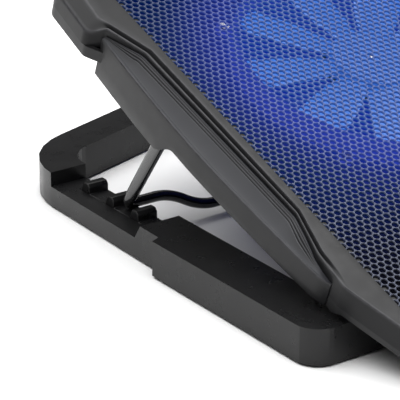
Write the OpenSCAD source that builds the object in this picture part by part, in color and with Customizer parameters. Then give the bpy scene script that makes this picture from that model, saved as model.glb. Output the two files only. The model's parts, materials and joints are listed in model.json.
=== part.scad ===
// Laptop cooling pad: a low open base frame, and a tray with two large fans under a
// perforated top. The tray is hinged along the front of the base and held up by a
// wire prop whose foot stands in one of the notches on the base's side rails.
// Millimetres, +Z up, +Y to the rear. The origin is under the middle of the whole pad.

/* [Stance] */
// Tilt of the tray above the desk, degrees
tray_tilt = 20; // [14:0.5:23]
// Notch the prop stands in, counted from the front
notch = 1; // [1:1:2]

/* [Base frame] */
// Width across the front blocks of the base
base_w = 420; // [380:5:470]
// Depth from the front face to the middle of the rear bar
base_d = 284; // [272:2:340]
// Height of the base's top face above the desk
base_h = 19; // [17:0.5:24]
// Width of the side rails
rail_w = 28; // [26:1:36]
// Wall thickness of the base moulding
base_wall = 2.4; // [1.6:0.2:3.2]
// Depth of the wide front part of each side rail
block_d = 124; // [110:2:130]
// Height of the notched floor above the desk
floor_z = 11.5; // [9:0.5:12.5]
// Height of a notch tooth above the notched floor
tooth_h = 5; // [3:0.5:5.5]
// Distance from one tooth to the next
tooth_pitch = 21.6; // [20:0.2:24]
// Radius of a rubber foot
foot_r = 7; // [5:0.5:9]
// How far a rubber foot stands proud of the base
foot_proud = 1.2; // [0.6:0.2:3]

/* [Tray] */
// Width of the tray body at its rear corners
tray_w = 402; // [366:2:440]
// Distance from the hinge line to the rear edge of the tray
tray_rear = 245; // [238:1:265]
// Distance from the hinge line to the front edge of the tray
tray_front = 46; // [46:1:50]
// Thickness of the tray, underside to rim
tray_t = 18; // [18:0.5:24]
// Wall thickness of the tray mouldings
tray_wall = 2.2; // [1.6:0.2:3]
// Height of the split between the bottom shell and the top frame
split_h = 6; // [5:0.5:7]
// Thickness of the perforated top sheet
mesh_t = 1; // [0.6:0.1:1.6]
// Depth of the sheet below the rim
mesh_drop = 1; // [0.4:0.1:1.8]
// Width of the top frame between its rim and the sheet
bezel_w = 7; // [5:0.5:12]

/* [Fans] */
// Radius of the fan blades
fan_r = 67; // [55:1:68]
// Distance between the two fan centres
fan_pitch = 147; // [144:1:170]
// Fan centre measured from the hinge line
fan_v = 143; // [140:1:150]
// Thickness of a fan frame
fan_t = 12.6; // [11:0.2:13]
// Number of blades on a fan
blades = 9; // [5:1:11]
// Angle at which the first blade stands at rest
blade_phase = 10; // [0:1:40]
// Radius of a fan hub
hub_r = 21; // [17:0.5:24]
// Radius of a fan shaft
shaft_r = 1.5; // [1:0.25:2]

/* [Hinge and prop] */
// Radius of a hinge pin
hinge_pin_r = 2; // [1.5:0.25:2.5]
// Distance of the hinges from the middle of the pad
hinge_x = 130; // [90:5:145]
// Diameter of the prop wire
wire_d = 5.4; // [4:0.2:6]
// Distance from the hinge line to the prop's pivot
prop_v = 148; // [142:1:156]
// Radial play of the hinge pins, shafts and stopper pins
running = 0.05; // [0.02:0.01:0.1]

/* [Hidden] */
$fn = 48;
eps = 0.01;
gap = 0.3;

// Hinge line: the tray's underside meets the top of the base here at rest
fold_y = 1;
fold_z = base_h + 0.5;
rim_drop = 3;
front_y = fold_y - tray_front * cos(tray_tilt) - (tray_t - rim_drop) * sin(tray_tilt);
mid_y = (base_d + front_y) / 2;

// Hinge axis in the base, and the same axis in the tray's own frame
axis_y = 10;
axis_z = base_h - 6;
axis_v = (axis_y - fold_y) * cos(tray_tilt) + (axis_z - fold_z) * sin(tray_tilt);
axis_h = (axis_z - fold_z) * cos(tray_tilt) - (axis_y - fold_y) * sin(tray_tilt);
knuckle_r = 5.5;
knuckle_w = 20;
pocket_x = knuckle_w / 2 + gap;
lug_w = 4;

// Base plan
half_w = base_w / 2;
rear_inset = 5;
side_taper = 2.7;
rear_side_y = base_d - 28.3;
rear_flat_x = base_w / 2 - 100;
crossbar_d = 22;
front_rail_d = 28;
foot_sink = 1.2;
recess_y0 = block_d + 22.8;
recess_y1 = rear_side_y - 31.7;
block_slope = 5;
tooth_x = half_w - rail_w - 0.5;
tooth_len = 11.5;
tooth_d = 7.4;
tooth_cut = 1.6;
tooth_y = block_d + 36.8;

// Prop: a wire bail with flat arms, its pivot under the tray and its foot on the base
wire_r = wire_d / 2;
knee_r = wire_r + 0.15;
pivot_h = -5;
pivot_y = fold_y + prop_v * cos(tray_tilt) - pivot_h * sin(tray_tilt);
pivot_z = fold_z + prop_v * sin(tray_tilt) + pivot_h * cos(tray_tilt);
foot_play = 2.6;
foot_y = tooth_y + notch * tooth_pitch - wire_r - foot_play;
foot_z = floor_z + wire_r + gap;
arm_x = half_w - 21.5;
arm_t = 3;
arm_w = 7;
arm_angle = atan2(foot_z - pivot_z, foot_y - pivot_y);
arm_len = norm([foot_y - pivot_y, foot_z - pivot_z]);
stub_len = 19;
jog_x = 164;
jog_len = 15;
jog_y = 7;
jog_z = 8;

// Tray plan
half_t = tray_w / 2;
waist_x = half_t - 16.5;
mesh_x = waist_x - bezel_w;
mesh_v0 = 20 - tray_front;
mesh_v1 = tray_rear - 14;
ledge = 3.5;
front_rise = 3;
wing_v0 = 14;
wing_v1 = tray_rear - 46;
wing_h = 13;
wing_bulge = 17.5;
skirt_drop = 9;
skirt_v0 = 129;
skirt_v1 = 198;
mesh_top = tray_t - mesh_drop;

// Fans
fan_h = mesh_top - mesh_t - 0.5 - fan_t;
ring_r = fan_r + 1.3;
ring_t = 2.2;
strut_t = 2;
ear_r = ring_r + 8;
motor_r = 25;
fan_x = fan_pitch / 2;
tray_screw_r = 1.5;
fan_screw_r = 1.4;

// Rear sockets and switch
board_v = tray_rear - tray_wall - 20;
board_h = split_h - 1.6;
socket_w = 14.6;
socket_hh = 7;
socket_x = [-26, -4];
switch_x = 22;

// Flip-up stoppers in the front bezel
stopper_x = 95;
stopper_w = 46;
stopper_t = 3.8;
stopper_d = 11.5;
stopper_axis_v = 6.4 - tray_front;
stopper_axis_h = tray_t - 2;
stopper_pin_r = 1;

// ---------- plan outlines ----------

function unit(v) = v / norm(v);

// Arc that rounds corner b = [x, y, r] between its neighbours a and c
function corner(a, b, c, n = 6) =
    let (p = [b[0], b[1]],
        u = unit([a[0] - b[0], a[1] - b[1]]),
        w = unit([c[0] - b[0], c[1] - b[1]]),
        half = acos(u * w) / 2,
        centre = p + unit(u + w) * b[2] / sin(half),
        s = unit(p + u * b[2] / tan(half) - centre),
        e = unit(p + w * b[2] / tan(half) - centre))
    b[2] < 0.1 ? [p] : [for (i = [0 : n]) centre + b[2] * unit(s * (n - i) + e * i)];

function rounded(pts) =
    let (m = len(pts))
    [for (i = [0 : m - 1]) each corner(pts[(i + m - 1) % m], pts[i], pts[(i + 1) % m])];

// The right half of an outline, front to rear, closed by its mirror image
function both_sides(half) =
    concat(half, [for (i = [len(half) - 1 : -1 : 0]) [-half[i][0], half[i][1], half[i][2]]]);

// Outer plan of the base, moved inwards by i
function base_outer(i) = rounded(both_sides([
    [half_w - i, i, 12 - i],
    [half_w - i, block_d - i, 0],
    [half_w - rear_inset - i, block_d + 2 - i, 0],
    [half_w - rear_inset - side_taper - i, rear_side_y - i, 45 - i],
    [rear_flat_x - i / 4, base_d - i, 30]]));

// Plan of the opening inside the base, moved outwards by i
function base_inner(i) = rounded(both_sides([
    [half_w - rail_w + i, front_rail_d - i, 6],
    [half_w - rail_w + i, rear_side_y - 16 + i, 18],
    [rear_flat_x + i / 4, base_d - crossbar_d + i, 24]]));

// Outer plan of the tray body, moved inwards by i
function tray_outer(i) = rounded(both_sides([
    [half_t - 21 - i, i - tray_front, 12 - i],
    [half_t - 7 - i, 5 - i / 3, 14],
    [half_t - 9.5 - i, 28 - i / 2, 8],
    [waist_x - i, 54 - i / 2, 12],
    [waist_x + 2 - i, wing_v1 - 16 + i / 2, 12],
    [half_t + 1 - i, wing_v1 + 6 + i / 2, 5],
    [half_t - 2 - i, tray_rear - i, 9 - i]]));

// Points of the wing's outer edge, rear to front, moved inwards by i
function wing_edge(i) = [
    [half_t - 4 - i, wing_v1 - 3],
    [half_t - 1 - i, wing_v1 - 42],
    [waist_x + wing_bulge - i, 114],
    [half_t - 1 - i, 72],
    [half_t - 4.5 - i, wing_v0 + 4]];

// ---------- placing ----------

module in_base() translate([0, -mid_y, 0]) children();

module in_tray() translate([0, fold_y - mid_y, fold_z]) rotate([tray_tilt, 0, 0]) children();

module both() {
    children();
    mirror([1, 0, 0]) children();
}

module x_cyl(r, w) rotate([0, 90, 0]) cylinder(r = r, h = w, center = true);

// ---------- base ----------

// Underside hollow of the base, lower where the notched floor is
module base_hollow() {
    difference() {
        translate([0, 0, foot_proud - eps]) linear_extrude(base_h - base_wall - foot_proud) difference() {
            polygon(base_outer(base_wall));
            polygon(base_inner(base_wall));
        }
        both() translate([half_w - 60, recess_y0 - block_slope - base_wall, floor_z - base_wall])
            cube([80, recess_y1 - recess_y0 + block_slope + 2 * base_wall, base_h]);
    }
}

// Space above the notched floor, open to both sides, with a sloping front end
module notch_space() {
    both() translate([half_w - 60, 0, 0]) rotate([90, 0, 90]) linear_extrude(80)
        polygon([[recess_y0, floor_z], [recess_y1, floor_z], [recess_y1, base_h + 1],
            [recess_y0 - block_slope - 0.6, base_h + 1]]);
}

rack_y = tooth_y - 2;
rack_len = 2 * tooth_pitch + tooth_d + 4;
rack_t = 1.2;

// Side outline of one tooth of a notch rack, rear to front, its front face at y
function tooth(y) = [[y + tooth_d, floor_z], [y + tooth_d - 2, floor_z + tooth_h],
    [y + tooth_cut, floor_z + tooth_h], [y, floor_z + tooth_h - tooth_cut], [y, floor_z]];

// Pocket for a rack in the floor of the recess in a rail
module rack_pocket() {
    translate([tooth_x - 1, rack_y - 0.1, floor_z - rack_t])
        cube([tooth_len + 1.1, rack_len + 0.2, base_h]);
}

// Strip with three teeth that sits in the floor of the recess and stops the foot of the prop
module notch_rack() translate([tooth_x, 0, 0]) rotate([90, 0, 90]) linear_extrude(tooth_len)
    polygon(concat([[rack_y, floor_z], [rack_y, floor_z - rack_t],
        [rack_y + rack_len, floor_z - rack_t], [rack_y + rack_len, floor_z]],
        tooth(tooth_y + 2 * tooth_pitch), tooth(tooth_y + tooth_pitch), tooth(tooth_y)));

foot_places = [[half_w - 16, 16], [half_w - rail_w / 2 - 2, block_d - 14],
    [half_w - rail_w + 8, rear_side_y - 26], [rear_flat_x - 20, base_d - crossbar_d / 2]];

module base_ribs() {
    both() for (y = [52, 88]) translate([half_w - rail_w + 1, y, foot_proud])
        cube([rail_w - 2, base_wall, base_h - foot_proud - 1]);
    both() for (x = [24, 64, 100]) translate([x, base_d - crossbar_d + 1, foot_proud])
        cube([base_wall, crossbar_d - 2, base_h - foot_proud - 1]);
    both() for (x = [30, 80]) translate([x, 1, foot_proud])
        cube([base_wall, front_rail_d - 2, base_h - foot_proud - 1]);
}

module base_frame() {
    color([0.16, 0.16, 0.17]) in_base() difference() {
        union() {
            difference() {
                translate([0, 0, foot_proud]) linear_extrude(base_h - foot_proud) difference() {
                    polygon(base_outer(0));
                    polygon(base_inner(0));
                }
                base_hollow();
            }
            base_ribs();
            both() translate([hinge_x - pocket_x - lug_w, 1, foot_proud])
                cube([2 * (pocket_x + lug_w), front_rail_d - 2, base_h - foot_proud - 1]);
            both() for (p = foot_places) translate([p[0], p[1], foot_proud])
                cylinder(r = foot_r + 2, h = base_h - foot_proud - 1);
        }
        notch_space();
        both() rack_pocket();
        both() translate([hinge_x - pocket_x, base_wall + 1, axis_z - knuckle_r - 1])
            cube([2 * pocket_x, 2 * axis_y - base_wall - 3, base_h]);
        both() translate([hinge_x, axis_y, axis_z])
            x_cyl(hinge_pin_r, 2 * (pocket_x + lug_w) + 1);
        both() for (p = foot_places) translate([p[0], p[1], foot_proud - eps])
            cylinder(r = foot_r + 0.1, h = foot_sink + eps);
    }
}

module notch_rack_left() color([0.15, 0.15, 0.16]) in_base() mirror([1, 0, 0]) notch_rack();
module notch_rack_right() color([0.15, 0.15, 0.16]) in_base() notch_rack();

module base_feet() {
    color([0.05, 0.05, 0.05]) in_base() both() for (p = foot_places) translate([p[0], p[1], 0]) {
        cylinder(r1 = foot_r - 0.6, r2 = foot_r, h = 0.6);
        translate([0, 0, 0.6]) cylinder(r = foot_r, h = foot_proud + foot_sink - 0.6);
    }
}

module hinge_pins() {
    color([0.75, 0.75, 0.77]) in_base() both() translate([hinge_x, axis_y, axis_z])
        x_cyl(hinge_pin_r, 2 * (pocket_x + lug_w) - 1);
}

// ---------- tray ----------

// Wedge under the front of the tray that clears the front edge of the base
module front_relief() {
    translate([-half_w, 0, 0]) rotate([90, 0, 90]) linear_extrude(base_w)
        polygon([[-tray_front - 5, -1], [9.5, -1], [8, 0], [2, front_rise],
            [-tray_front - 5, front_rise]]);
}

// One ring of arc slots in the air intake under a fan
module slot_ring(r, w, n) {
    for (i = [0 : n - 1]) rotate([0, 0, i * 360 / n + 8])
        rotate_extrude(angle = 360 / n - 16) translate([r, 0]) square([w, 3 * tray_wall]);
}

module intake() {
    for (s = [-1, 1]) translate([s * fan_x, fan_v, -tray_wall]) for (r = [28, 40, 52])
        slot_ring(r, 7, 6);
}

boss_places = [[160, 9.5 - tray_front], [36, 9.5 - tray_front], [mesh_x - ledge - 2, 66],
    [mesh_x - ledge - 2, tray_rear - 19], [48, tray_rear - 16]];

// Height of the shell's outside face at a boss: the front is raised by the relief
function under(p) = p[1] < 8 ? front_rise : 0;

module tray_knuckles() {
    both() translate([hinge_x, 0, 0]) {
        translate([0, axis_v, axis_h]) x_cyl(knuckle_r, knuckle_w);
        translate([-knuckle_w / 2, axis_v - 2.5, axis_h]) cube([knuckle_w, 7, 4 - axis_h]);
    }
}

module tray_bottom_shell() {
    color([0.13, 0.13, 0.14]) in_tray() difference() {
        union() {
            difference() {
                linear_extrude(split_h) polygon(tray_outer(0));
                translate([0, 0, tray_wall]) linear_extrude(split_h) intersection() {
                    polygon(tray_outer(tray_wall));
                    translate([-half_w, 9]) square([base_w, tray_rear]);
                }
                translate([0, 0, front_rise + tray_wall - eps]) linear_extrude(split_h)
                    polygon(tray_outer(tray_wall));
                front_relief();
            }
            tray_knuckles();
            both() for (p = boss_places) translate([p[0], p[1], under(p) + 1])
                cylinder(r = 4, h = split_h - under(p) - 1);
            for (s = [-1, 1], a = [45 : 90 : 315]) translate([s * fan_x, fan_v, eps])
                rotate([0, 0, a]) translate([ear_r - 2, 0, 0])
                    cylinder(r = 3.2, h = fan_h - 2 * eps);
            both() translate([waist_x - 15, prop_v - 8, 1]) cube([13, 16, 3]);
            for (x = [-31, 28]) translate([x, board_v + 2, 1]) cube([3, 12, board_h - 1]);
        }
        both() translate([hinge_x, axis_v, axis_h]) x_cyl(hinge_pin_r + running, knuckle_w + 2);
        both() for (p = boss_places) translate([p[0], p[1], under(p) - 1]) {
            cylinder(r = tray_screw_r + 0.15, h = split_h + 2);
            cylinder(r = 3, h = 2.2);
        }
        for (s = [-1, 1], a = [45 : 90 : 315]) translate([s * fan_x, fan_v, 0.8])
            rotate([0, 0, a]) translate([ear_r - 2, 0, 0]) cylinder(r = fan_screw_r, h = 8);
        both() for (dv = [-6, 6]) translate([waist_x - 8.5, prop_v + dv, -1])
            cylinder(r = 1.1, h = 4.5);
        intake();
    }
}

// Upper body with a sloping rim and a window for the perforated sheet
module tray_top_frame() {
    color([0.26, 0.26, 0.27]) in_tray() difference() {
        union() {
            difference() {
                union() {
                    translate([0, 0, split_h]) linear_extrude(tray_t - split_h - rim_drop)
                        polygon(tray_outer(0));
                    translate([0, 0, tray_t - rim_drop]) linear_extrude(rim_drop / 2)
                        polygon(tray_outer(1.2));
                    translate([0, 0, tray_t - rim_drop / 2]) linear_extrude(rim_drop / 2)
                        polygon(tray_outer(2.6));
                }
                translate([0, 0, split_h - 1]) linear_extrude(tray_t - split_h - 2 - tray_wall)
                    polygon(tray_outer(tray_wall));
                translate([-mesh_x + ledge, mesh_v0 + ledge, split_h])
                    cube([2 * (mesh_x - ledge), mesh_v1 - mesh_v0 - 2 * ledge, tray_t]);
                translate([-mesh_x, mesh_v0, mesh_top - mesh_t])
                    cube([2 * mesh_x, mesh_v1 - mesh_v0, 5]);
            }
            both() for (p = boss_places) translate([p[0], p[1], split_h])
                cylinder(r = 4, h = mesh_top - mesh_t - split_h - 0.3);
            both() translate([stopper_x - stopper_w / 2 - 4, 0.5 - tray_front, split_h + 1])
                cube([stopper_w + 8, 19, mesh_top - mesh_t - split_h - 1.6]);
        }
        both() for (p = boss_places) translate([p[0], p[1], split_h - 1])
            cylinder(r = tray_screw_r, h = 8);
        both() translate([stopper_x - stopper_w / 2 - 0.4, 3.2 - tray_front, tray_t - 5.1])
            cube([stopper_w + 0.8, 14.4, 10]);
        both() translate([stopper_x, stopper_axis_v, stopper_axis_h])
            x_cyl(stopper_pin_r, stopper_w + 5);
        for (x = socket_x) translate([x, tray_rear - 4, split_h - 1])
            cube([socket_w + 0.4, 10, socket_hh + 2.2]);
        translate([switch_x - 0.2, tray_rear - 4, split_h - 1]) cube([15.4, 10, 11.1]);
        translate([socket_x[0] - 2, tray_rear - 16, split_h - 1])
            cube([switch_x - socket_x[0] + 19, 16 - tray_wall, 11.1]);
    }
}

module mesh_grille() {
    color([0.1, 0.13, 0.28]) in_tray()
        translate([0.3 - mesh_x, mesh_v0 + 0.3, mesh_top - mesh_t])
            cube([2 * mesh_x - 0.6, mesh_v1 - mesh_v0 - 0.6, mesh_t]);
}

// Hollow side panel that fills the tray's waist and hides the prop's pivot
module wing() {
    difference() {
        union() {
            linear_extrude(wing_h) difference() {
                polygon(concat(wing_edge(0), [[half_t - 10, wing_v0 - 2], [waist_x - 4, 30],
                    [waist_x - 4, wing_v1 - 18]]));
                polygon(tray_outer(-gap));
            }
            translate([0, 0, -skirt_drop]) intersection() {
                linear_extrude(skirt_drop + 1) difference() {
                    polygon(concat(wing_edge(0), [[waist_x + 12, 60], [waist_x + 12, skirt_v1]]));
                    polygon(concat(wing_edge(tray_wall), [[0, 60], [0, skirt_v1 - tray_wall]]));
                }
                rotate([90, 0, 90]) linear_extrude(half_w)
                    polygon([[skirt_v0, skirt_drop + 1], [skirt_v0 + 12, 0], [skirt_v1, 0],
                        [skirt_v1, skirt_drop + 1]]);
            }
        }
        translate([0, 0, -1]) linear_extrude(wing_h - 1) difference() {
            polygon(concat(wing_edge(tray_wall), [[half_t - 10, wing_v0 + 4], [waist_x - 4, 30],
                [waist_x - 4, wing_v1 - 22]]));
            polygon(tray_outer(-gap - 1.8));
        }
    }
}

module wing_left() color([0.27, 0.27, 0.29]) in_tray() mirror([1, 0, 0]) wing();

module wing_right() color([0.27, 0.27, 0.29]) in_tray() wing();

// ---------- fans ----------

module in_fan(s) in_tray() translate([s * fan_x, fan_v, fan_h]) children();

module fan_frame() {
    difference() {
        union() {
            difference() {
                cylinder(r = ring_r + ring_t, h = fan_t, $fn = 96);
                translate([0, 0, -1]) cylinder(r = ring_r, h = fan_t + 2, $fn = 96);
            }
            for (a = [0 : 90 : 270]) rotate([0, 0, a + 10]) translate([motor_r - 1, -2.5, 0])
                cube([ring_r - motor_r + 2, 5, strut_t]);
            cylinder(r = motor_r, h = strut_t);
            for (a = [45 : 90 : 315]) rotate([0, 0, a]) difference() {
                union() {
                    translate([ear_r - 2, 0, 0]) cylinder(r = 4, h = 3);
                    translate([ring_r + 1, -4, 0]) cube([ear_r - ring_r - 3, 8, 3]);
                }
                translate([ear_r - 2, 0, -1]) cylinder(r = fan_screw_r + 0.2, h = 5);
            }
        }
        translate([0, 0, -1]) cylinder(r = 4, h = strut_t + 2);
    }
}

module fan_stator() {
    difference() {
        translate([0, 0, strut_t]) union() {
            cylinder(r = 7, h = 6);
            for (a = [0 : 60 : 300]) rotate([0, 0, a]) {
                translate([0, -2, 0.5]) cube([14, 4, 5]);
                rotate([0, 0, -14]) rotate_extrude(angle = 28) translate([13.5, 0.5]) square([3, 5]);
            }
        }
        cylinder(r = 4, h = fan_t);
    }
}

module fan_bearing() {
    difference() {
        translate([0, 0, 0.4]) cylinder(r = 4, h = 7.6);
        translate([0, 0, 1.4]) cylinder(r = shaft_r + running, h = fan_t);
    }
}

module fan_led_board() {
    difference() {
        translate([0, 0, strut_t]) cylinder(r = motor_r - 0.4, h = 0.8);
        translate([0, 0, strut_t - 1]) cylinder(r = hub_r + 0.8, h = 3);
    }
    for (a = [0 : 60 : 300]) rotate([0, 0, a + 30]) translate([motor_r - 2.8, -1.2, strut_t + 0.8])
        cube([1.8, 2.4, 0.6]);
}

// Cup-shaped hub with sloping blades
module fan_rotor() {
    difference() {
        translate([0, 0, 3.2]) cylinder(r = hub_r, h = fan_t - 4);
        translate([0, 0, 2]) cylinder(r = hub_r - 2, h = fan_t - 5);
        cylinder(r = shaft_r, h = fan_t - 1.8);
    }
    intersection() {
        difference() {
            translate([0, 0, 4]) cylinder(r = fan_r, h = fan_t - 5, $fn = 96);
            cylinder(r = hub_r - 0.5, h = fan_t);
        }
        union() for (i = [0 : blades - 1]) rotate([0, 0, blade_phase + i * 360 / blades])
            translate([0, 0, fan_t / 2 + 1.5]) rotate([24, 0, 0])
                translate([hub_r - 4, -13, -0.8]) cube([fan_r, 26, 1.6]);
    }
}

module fan_shaft() translate([0, 0, 1.6]) cylinder(r = shaft_r, h = fan_t - 3.4);

module fan_frame_left() color([0.1, 0.1, 0.11]) in_fan(-1) fan_frame();

module fan_frame_right() color([0.1, 0.1, 0.11]) in_fan(1) fan_frame();

module fan_stator_left() color([0.6, 0.35, 0.15]) in_fan(-1) fan_stator();

module fan_stator_right() color([0.6, 0.35, 0.15]) in_fan(1) fan_stator();

module fan_bearing_left() color([0.75, 0.6, 0.3]) in_fan(-1) fan_bearing();

module fan_bearing_right() color([0.75, 0.6, 0.3]) in_fan(1) fan_bearing();

module fan_led_board_left() color([0.1, 0.3, 0.8]) in_fan(-1) fan_led_board();

module fan_led_board_right() color([0.1, 0.3, 0.8]) in_fan(1) fan_led_board();

module fan_rotor_left() color([0.25, 0.45, 0.75]) in_fan(-1) fan_rotor();

module fan_rotor_right() color([0.25, 0.45, 0.75]) in_fan(1) fan_rotor();

module fan_shaft_left() color([0.8, 0.8, 0.8]) in_fan(-1) fan_shaft();

module fan_shaft_right() color([0.8, 0.8, 0.8]) in_fan(1) fan_shaft();

module fan_screws() {
    color([0.5, 0.5, 0.52]) for (s = [-1, 1]) in_fan(s) for (a = [45 : 90 : 315])
        rotate([0, 0, a]) translate([ear_r - 2, 0, 0]) {
            translate([0, 0, 0.8 - fan_h]) cylinder(r = fan_screw_r, h = fan_h + 2.3);
            translate([0, 0, 3]) cylinder(r = 2.6, h = 1.4);
        }
}

// Flat two-core lead from each fan to the rear board, laid on the shell's floor
lead_w = 2.4;
lead_t = 1.1;

// Outline of a strip of width w along a chain of points
function strip(pts, w) =
    let (m = len(pts) - 1,
        side = [for (i = [0 : m]) let (d = unit(pts[min(i + 1, m)] - pts[max(i - 1, 0)]))
            [-d[1], d[0]] * w / 2])
    concat([for (i = [0 : m]) pts[i] + side[i]], [for (i = [m : -1 : 0]) pts[i] - side[i]]);

module fan_leads() {
    start_v = fan_v + ring_r + ring_t + 0.2;
    color([0.06, 0.06, 0.06]) in_tray() both() {
        translate([0, 0, tray_wall]) linear_extrude(lead_t)
            polygon(strip([[fan_x - 3, start_v], [fan_x - 3, start_v + 3], [fan_x - 8, start_v + 6],
                [46, board_v - 4], [40, board_v], [35, board_v + 6]], lead_w));
        translate([fan_x - 3 - lead_w / 2, start_v, tray_wall])
            cube([lead_w, lead_t, fan_h + 6 - tray_wall]);
        translate([33.5, board_v + 4.6, tray_wall]) cube([lead_w, lead_t, board_h - tray_wall]);
    }
}

// ---------- rear sockets and switch ----------

module usb_board() {
    color([0.08, 0.3, 0.15]) in_tray() translate([-39, board_v, board_h]) cube([78, 18, 1.6]);
}

module usb_sockets() {
    color([0.75, 0.75, 0.76]) in_tray() for (x = socket_x)
        translate([x + 0.2, tray_rear - 14.5, split_h]) difference() {
            cube([socket_w, 14, socket_hh + 1]);
            translate([1.2, 3, 1.9]) cube([socket_w - 2.4, 14, 5.2]);
        }
}

module switch_housing() {
    color([0.06, 0.06, 0.06]) in_tray() translate([switch_x, tray_rear - 11, split_h]) difference() {
        cube([15, 10.8, 9.9]);
        translate([2, 4, 1.4]) cube([11, 14, 7]);
    }
}

rocker_y = tray_rear - 3.2;
rocker_z = split_h + 4.9;

module switch_rocker() {
    color([0.12, 0.12, 0.12]) in_tray() translate([switch_x + 7.5, rocker_y, rocker_z])
        difference() {
            cylinder(r = 5, h = 6.2, center = true);
            translate([-10, -10, -5]) cube([20, 9, 10]);
            translate([0, 7.2, 0]) cylinder(r = 5, h = 8, center = true);
        }
}

// ---------- prop ----------

// Shape between two points in space
module rod(a, b, r) {
    let (d = b - a, l = norm(d)) translate(a)
        rotate([0, acos(d[2] / l), atan2(d[1], d[0])]) cylinder(r = r, h = l, $fn = 32);
}

module prop_bail() {
    low_y = foot_y - jog_y;
    low_z = foot_z - jog_z;
    color([0.08, 0.08, 0.08]) in_base() {
        both() {
            translate([arm_x, pivot_y, pivot_z]) rotate([arm_angle, 0, 0]) {
                translate([-arm_t / 2, 0, 0]) rotate([90, 0, 90]) linear_extrude(arm_t)
                    polygon([[0, -arm_w / 2], [arm_len, -knee_r], [arm_len, knee_r],
                        [0, arm_w / 2]]);
                x_cyl(arm_w / 2 + eps, arm_t);
                translate([0, arm_len, 0]) x_cyl(knee_r + eps, arm_t);
            }
            rod([arm_x - stub_len, pivot_y, pivot_z], [arm_x, pivot_y, pivot_z], wire_r);
            rod([jog_x, foot_y, foot_z], [arm_x, foot_y, foot_z], wire_r);
            rod([jog_x - jog_len, low_y, low_z], [jog_x, foot_y, foot_z], wire_r);
            translate([jog_x, foot_y, foot_z]) rotate([0, 90, 0]) sphere(r = knee_r, $fn = 32);
            translate([jog_x - jog_len, low_y, low_z]) rotate([0, 90, 0])
                sphere(r = knee_r, $fn = 32);
        }
        rod([jog_len - jog_x, low_y, low_z], [jog_x - jog_len, low_y, low_z], wire_r);
    }
}

// Saddle that holds one pivot end of the prop under the tray
module prop_clamps() {
    color([0.1, 0.1, 0.11]) in_tray() both() translate([waist_x - 15, prop_v, 0]) difference() {
        translate([0, -9, pivot_h - 4.4]) cube([13, 18, 4.4 - pivot_h]);
        translate([6, 0, pivot_h]) x_cyl(wire_r + running, 20);
        for (dv = [-6, 6]) translate([6.5, dv, pivot_h - 5]) cylinder(r = 1.3, h = 12);
        for (dv = [-6, 6]) translate([6.5, dv, pivot_h - 5]) cylinder(r = 2.4, h = 2.2);
    }
}

module clamp_screws() {
    color([0.5, 0.5, 0.52]) in_tray() both() for (dv = [-6, 6])
        translate([waist_x - 8.5, prop_v + dv, 0]) {
            translate([0, 0, pivot_h - 4.2]) cylinder(r = 2.2, h = 1.4);
            translate([0, 0, pivot_h - 3]) cylinder(r = 1.1, h = 6 - pivot_h);
        }
}

module tray_screws() {
    color([0.5, 0.5, 0.52]) in_tray() both() for (p = boss_places) translate([p[0], p[1], 0]) {
        translate([0, 0, under(p) + 0.2]) cylinder(r = 2.8, h = 1);
        translate([0, 0, under(p) + 1]) cylinder(r = tray_screw_r, h = split_h + 4 - under(p));
    }
}

// ---------- stoppers ----------

module stopper() {
    translate([0, stopper_axis_v, stopper_axis_h]) difference() {
        union() {
            x_cyl(stopper_t / 2, stopper_w);
            translate([-stopper_w / 2, 0, -stopper_t / 2])
                cube([stopper_w, stopper_d - stopper_t / 2, stopper_t]);
        }
        x_cyl(stopper_pin_r + running, stopper_w + 2);
        translate([-stopper_w / 2 + 5, 3, stopper_t / 2 - 1]) cube([stopper_w - 10, 4.4, 2]);
    }
}

module stopper_left() color([0.2, 0.2, 0.21]) in_tray() translate([-stopper_x, 0, 0]) stopper();

module stopper_right() color([0.2, 0.2, 0.21]) in_tray() translate([stopper_x, 0, 0]) stopper();

module stopper_pins() {
    color([0.75, 0.75, 0.77]) in_tray() both()
        translate([stopper_x, stopper_axis_v, stopper_axis_h]) x_cyl(stopper_pin_r, stopper_w + 4);
}

base_frame();
notch_rack_left();
notch_rack_right();
base_feet();
hinge_pins();
tray_bottom_shell();
tray_top_frame();
mesh_grille();
wing_left();
wing_right();
fan_frame_left();
fan_frame_right();
fan_stator_left();
fan_stator_right();
fan_bearing_left();
fan_bearing_right();
fan_led_board_left();
fan_led_board_right();
fan_rotor_left();
fan_rotor_right();
fan_shaft_left();
fan_shaft_right();
fan_screws();
fan_leads();
usb_board();
usb_sockets();
switch_housing();
switch_rocker();
prop_bail();
prop_clamps();
clamp_screws();
tray_screws();
stopper_left();
stopper_right();
stopper_pins();
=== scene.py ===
"""Laptop cooling pad: the finished surfaces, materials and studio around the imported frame.

Lengths are in metres. Most shapes are worked out in the tray's own frame: x to the right,
v along the tray from the line where it leaves the base, and h square to its underside.
"""

import json
import math

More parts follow.
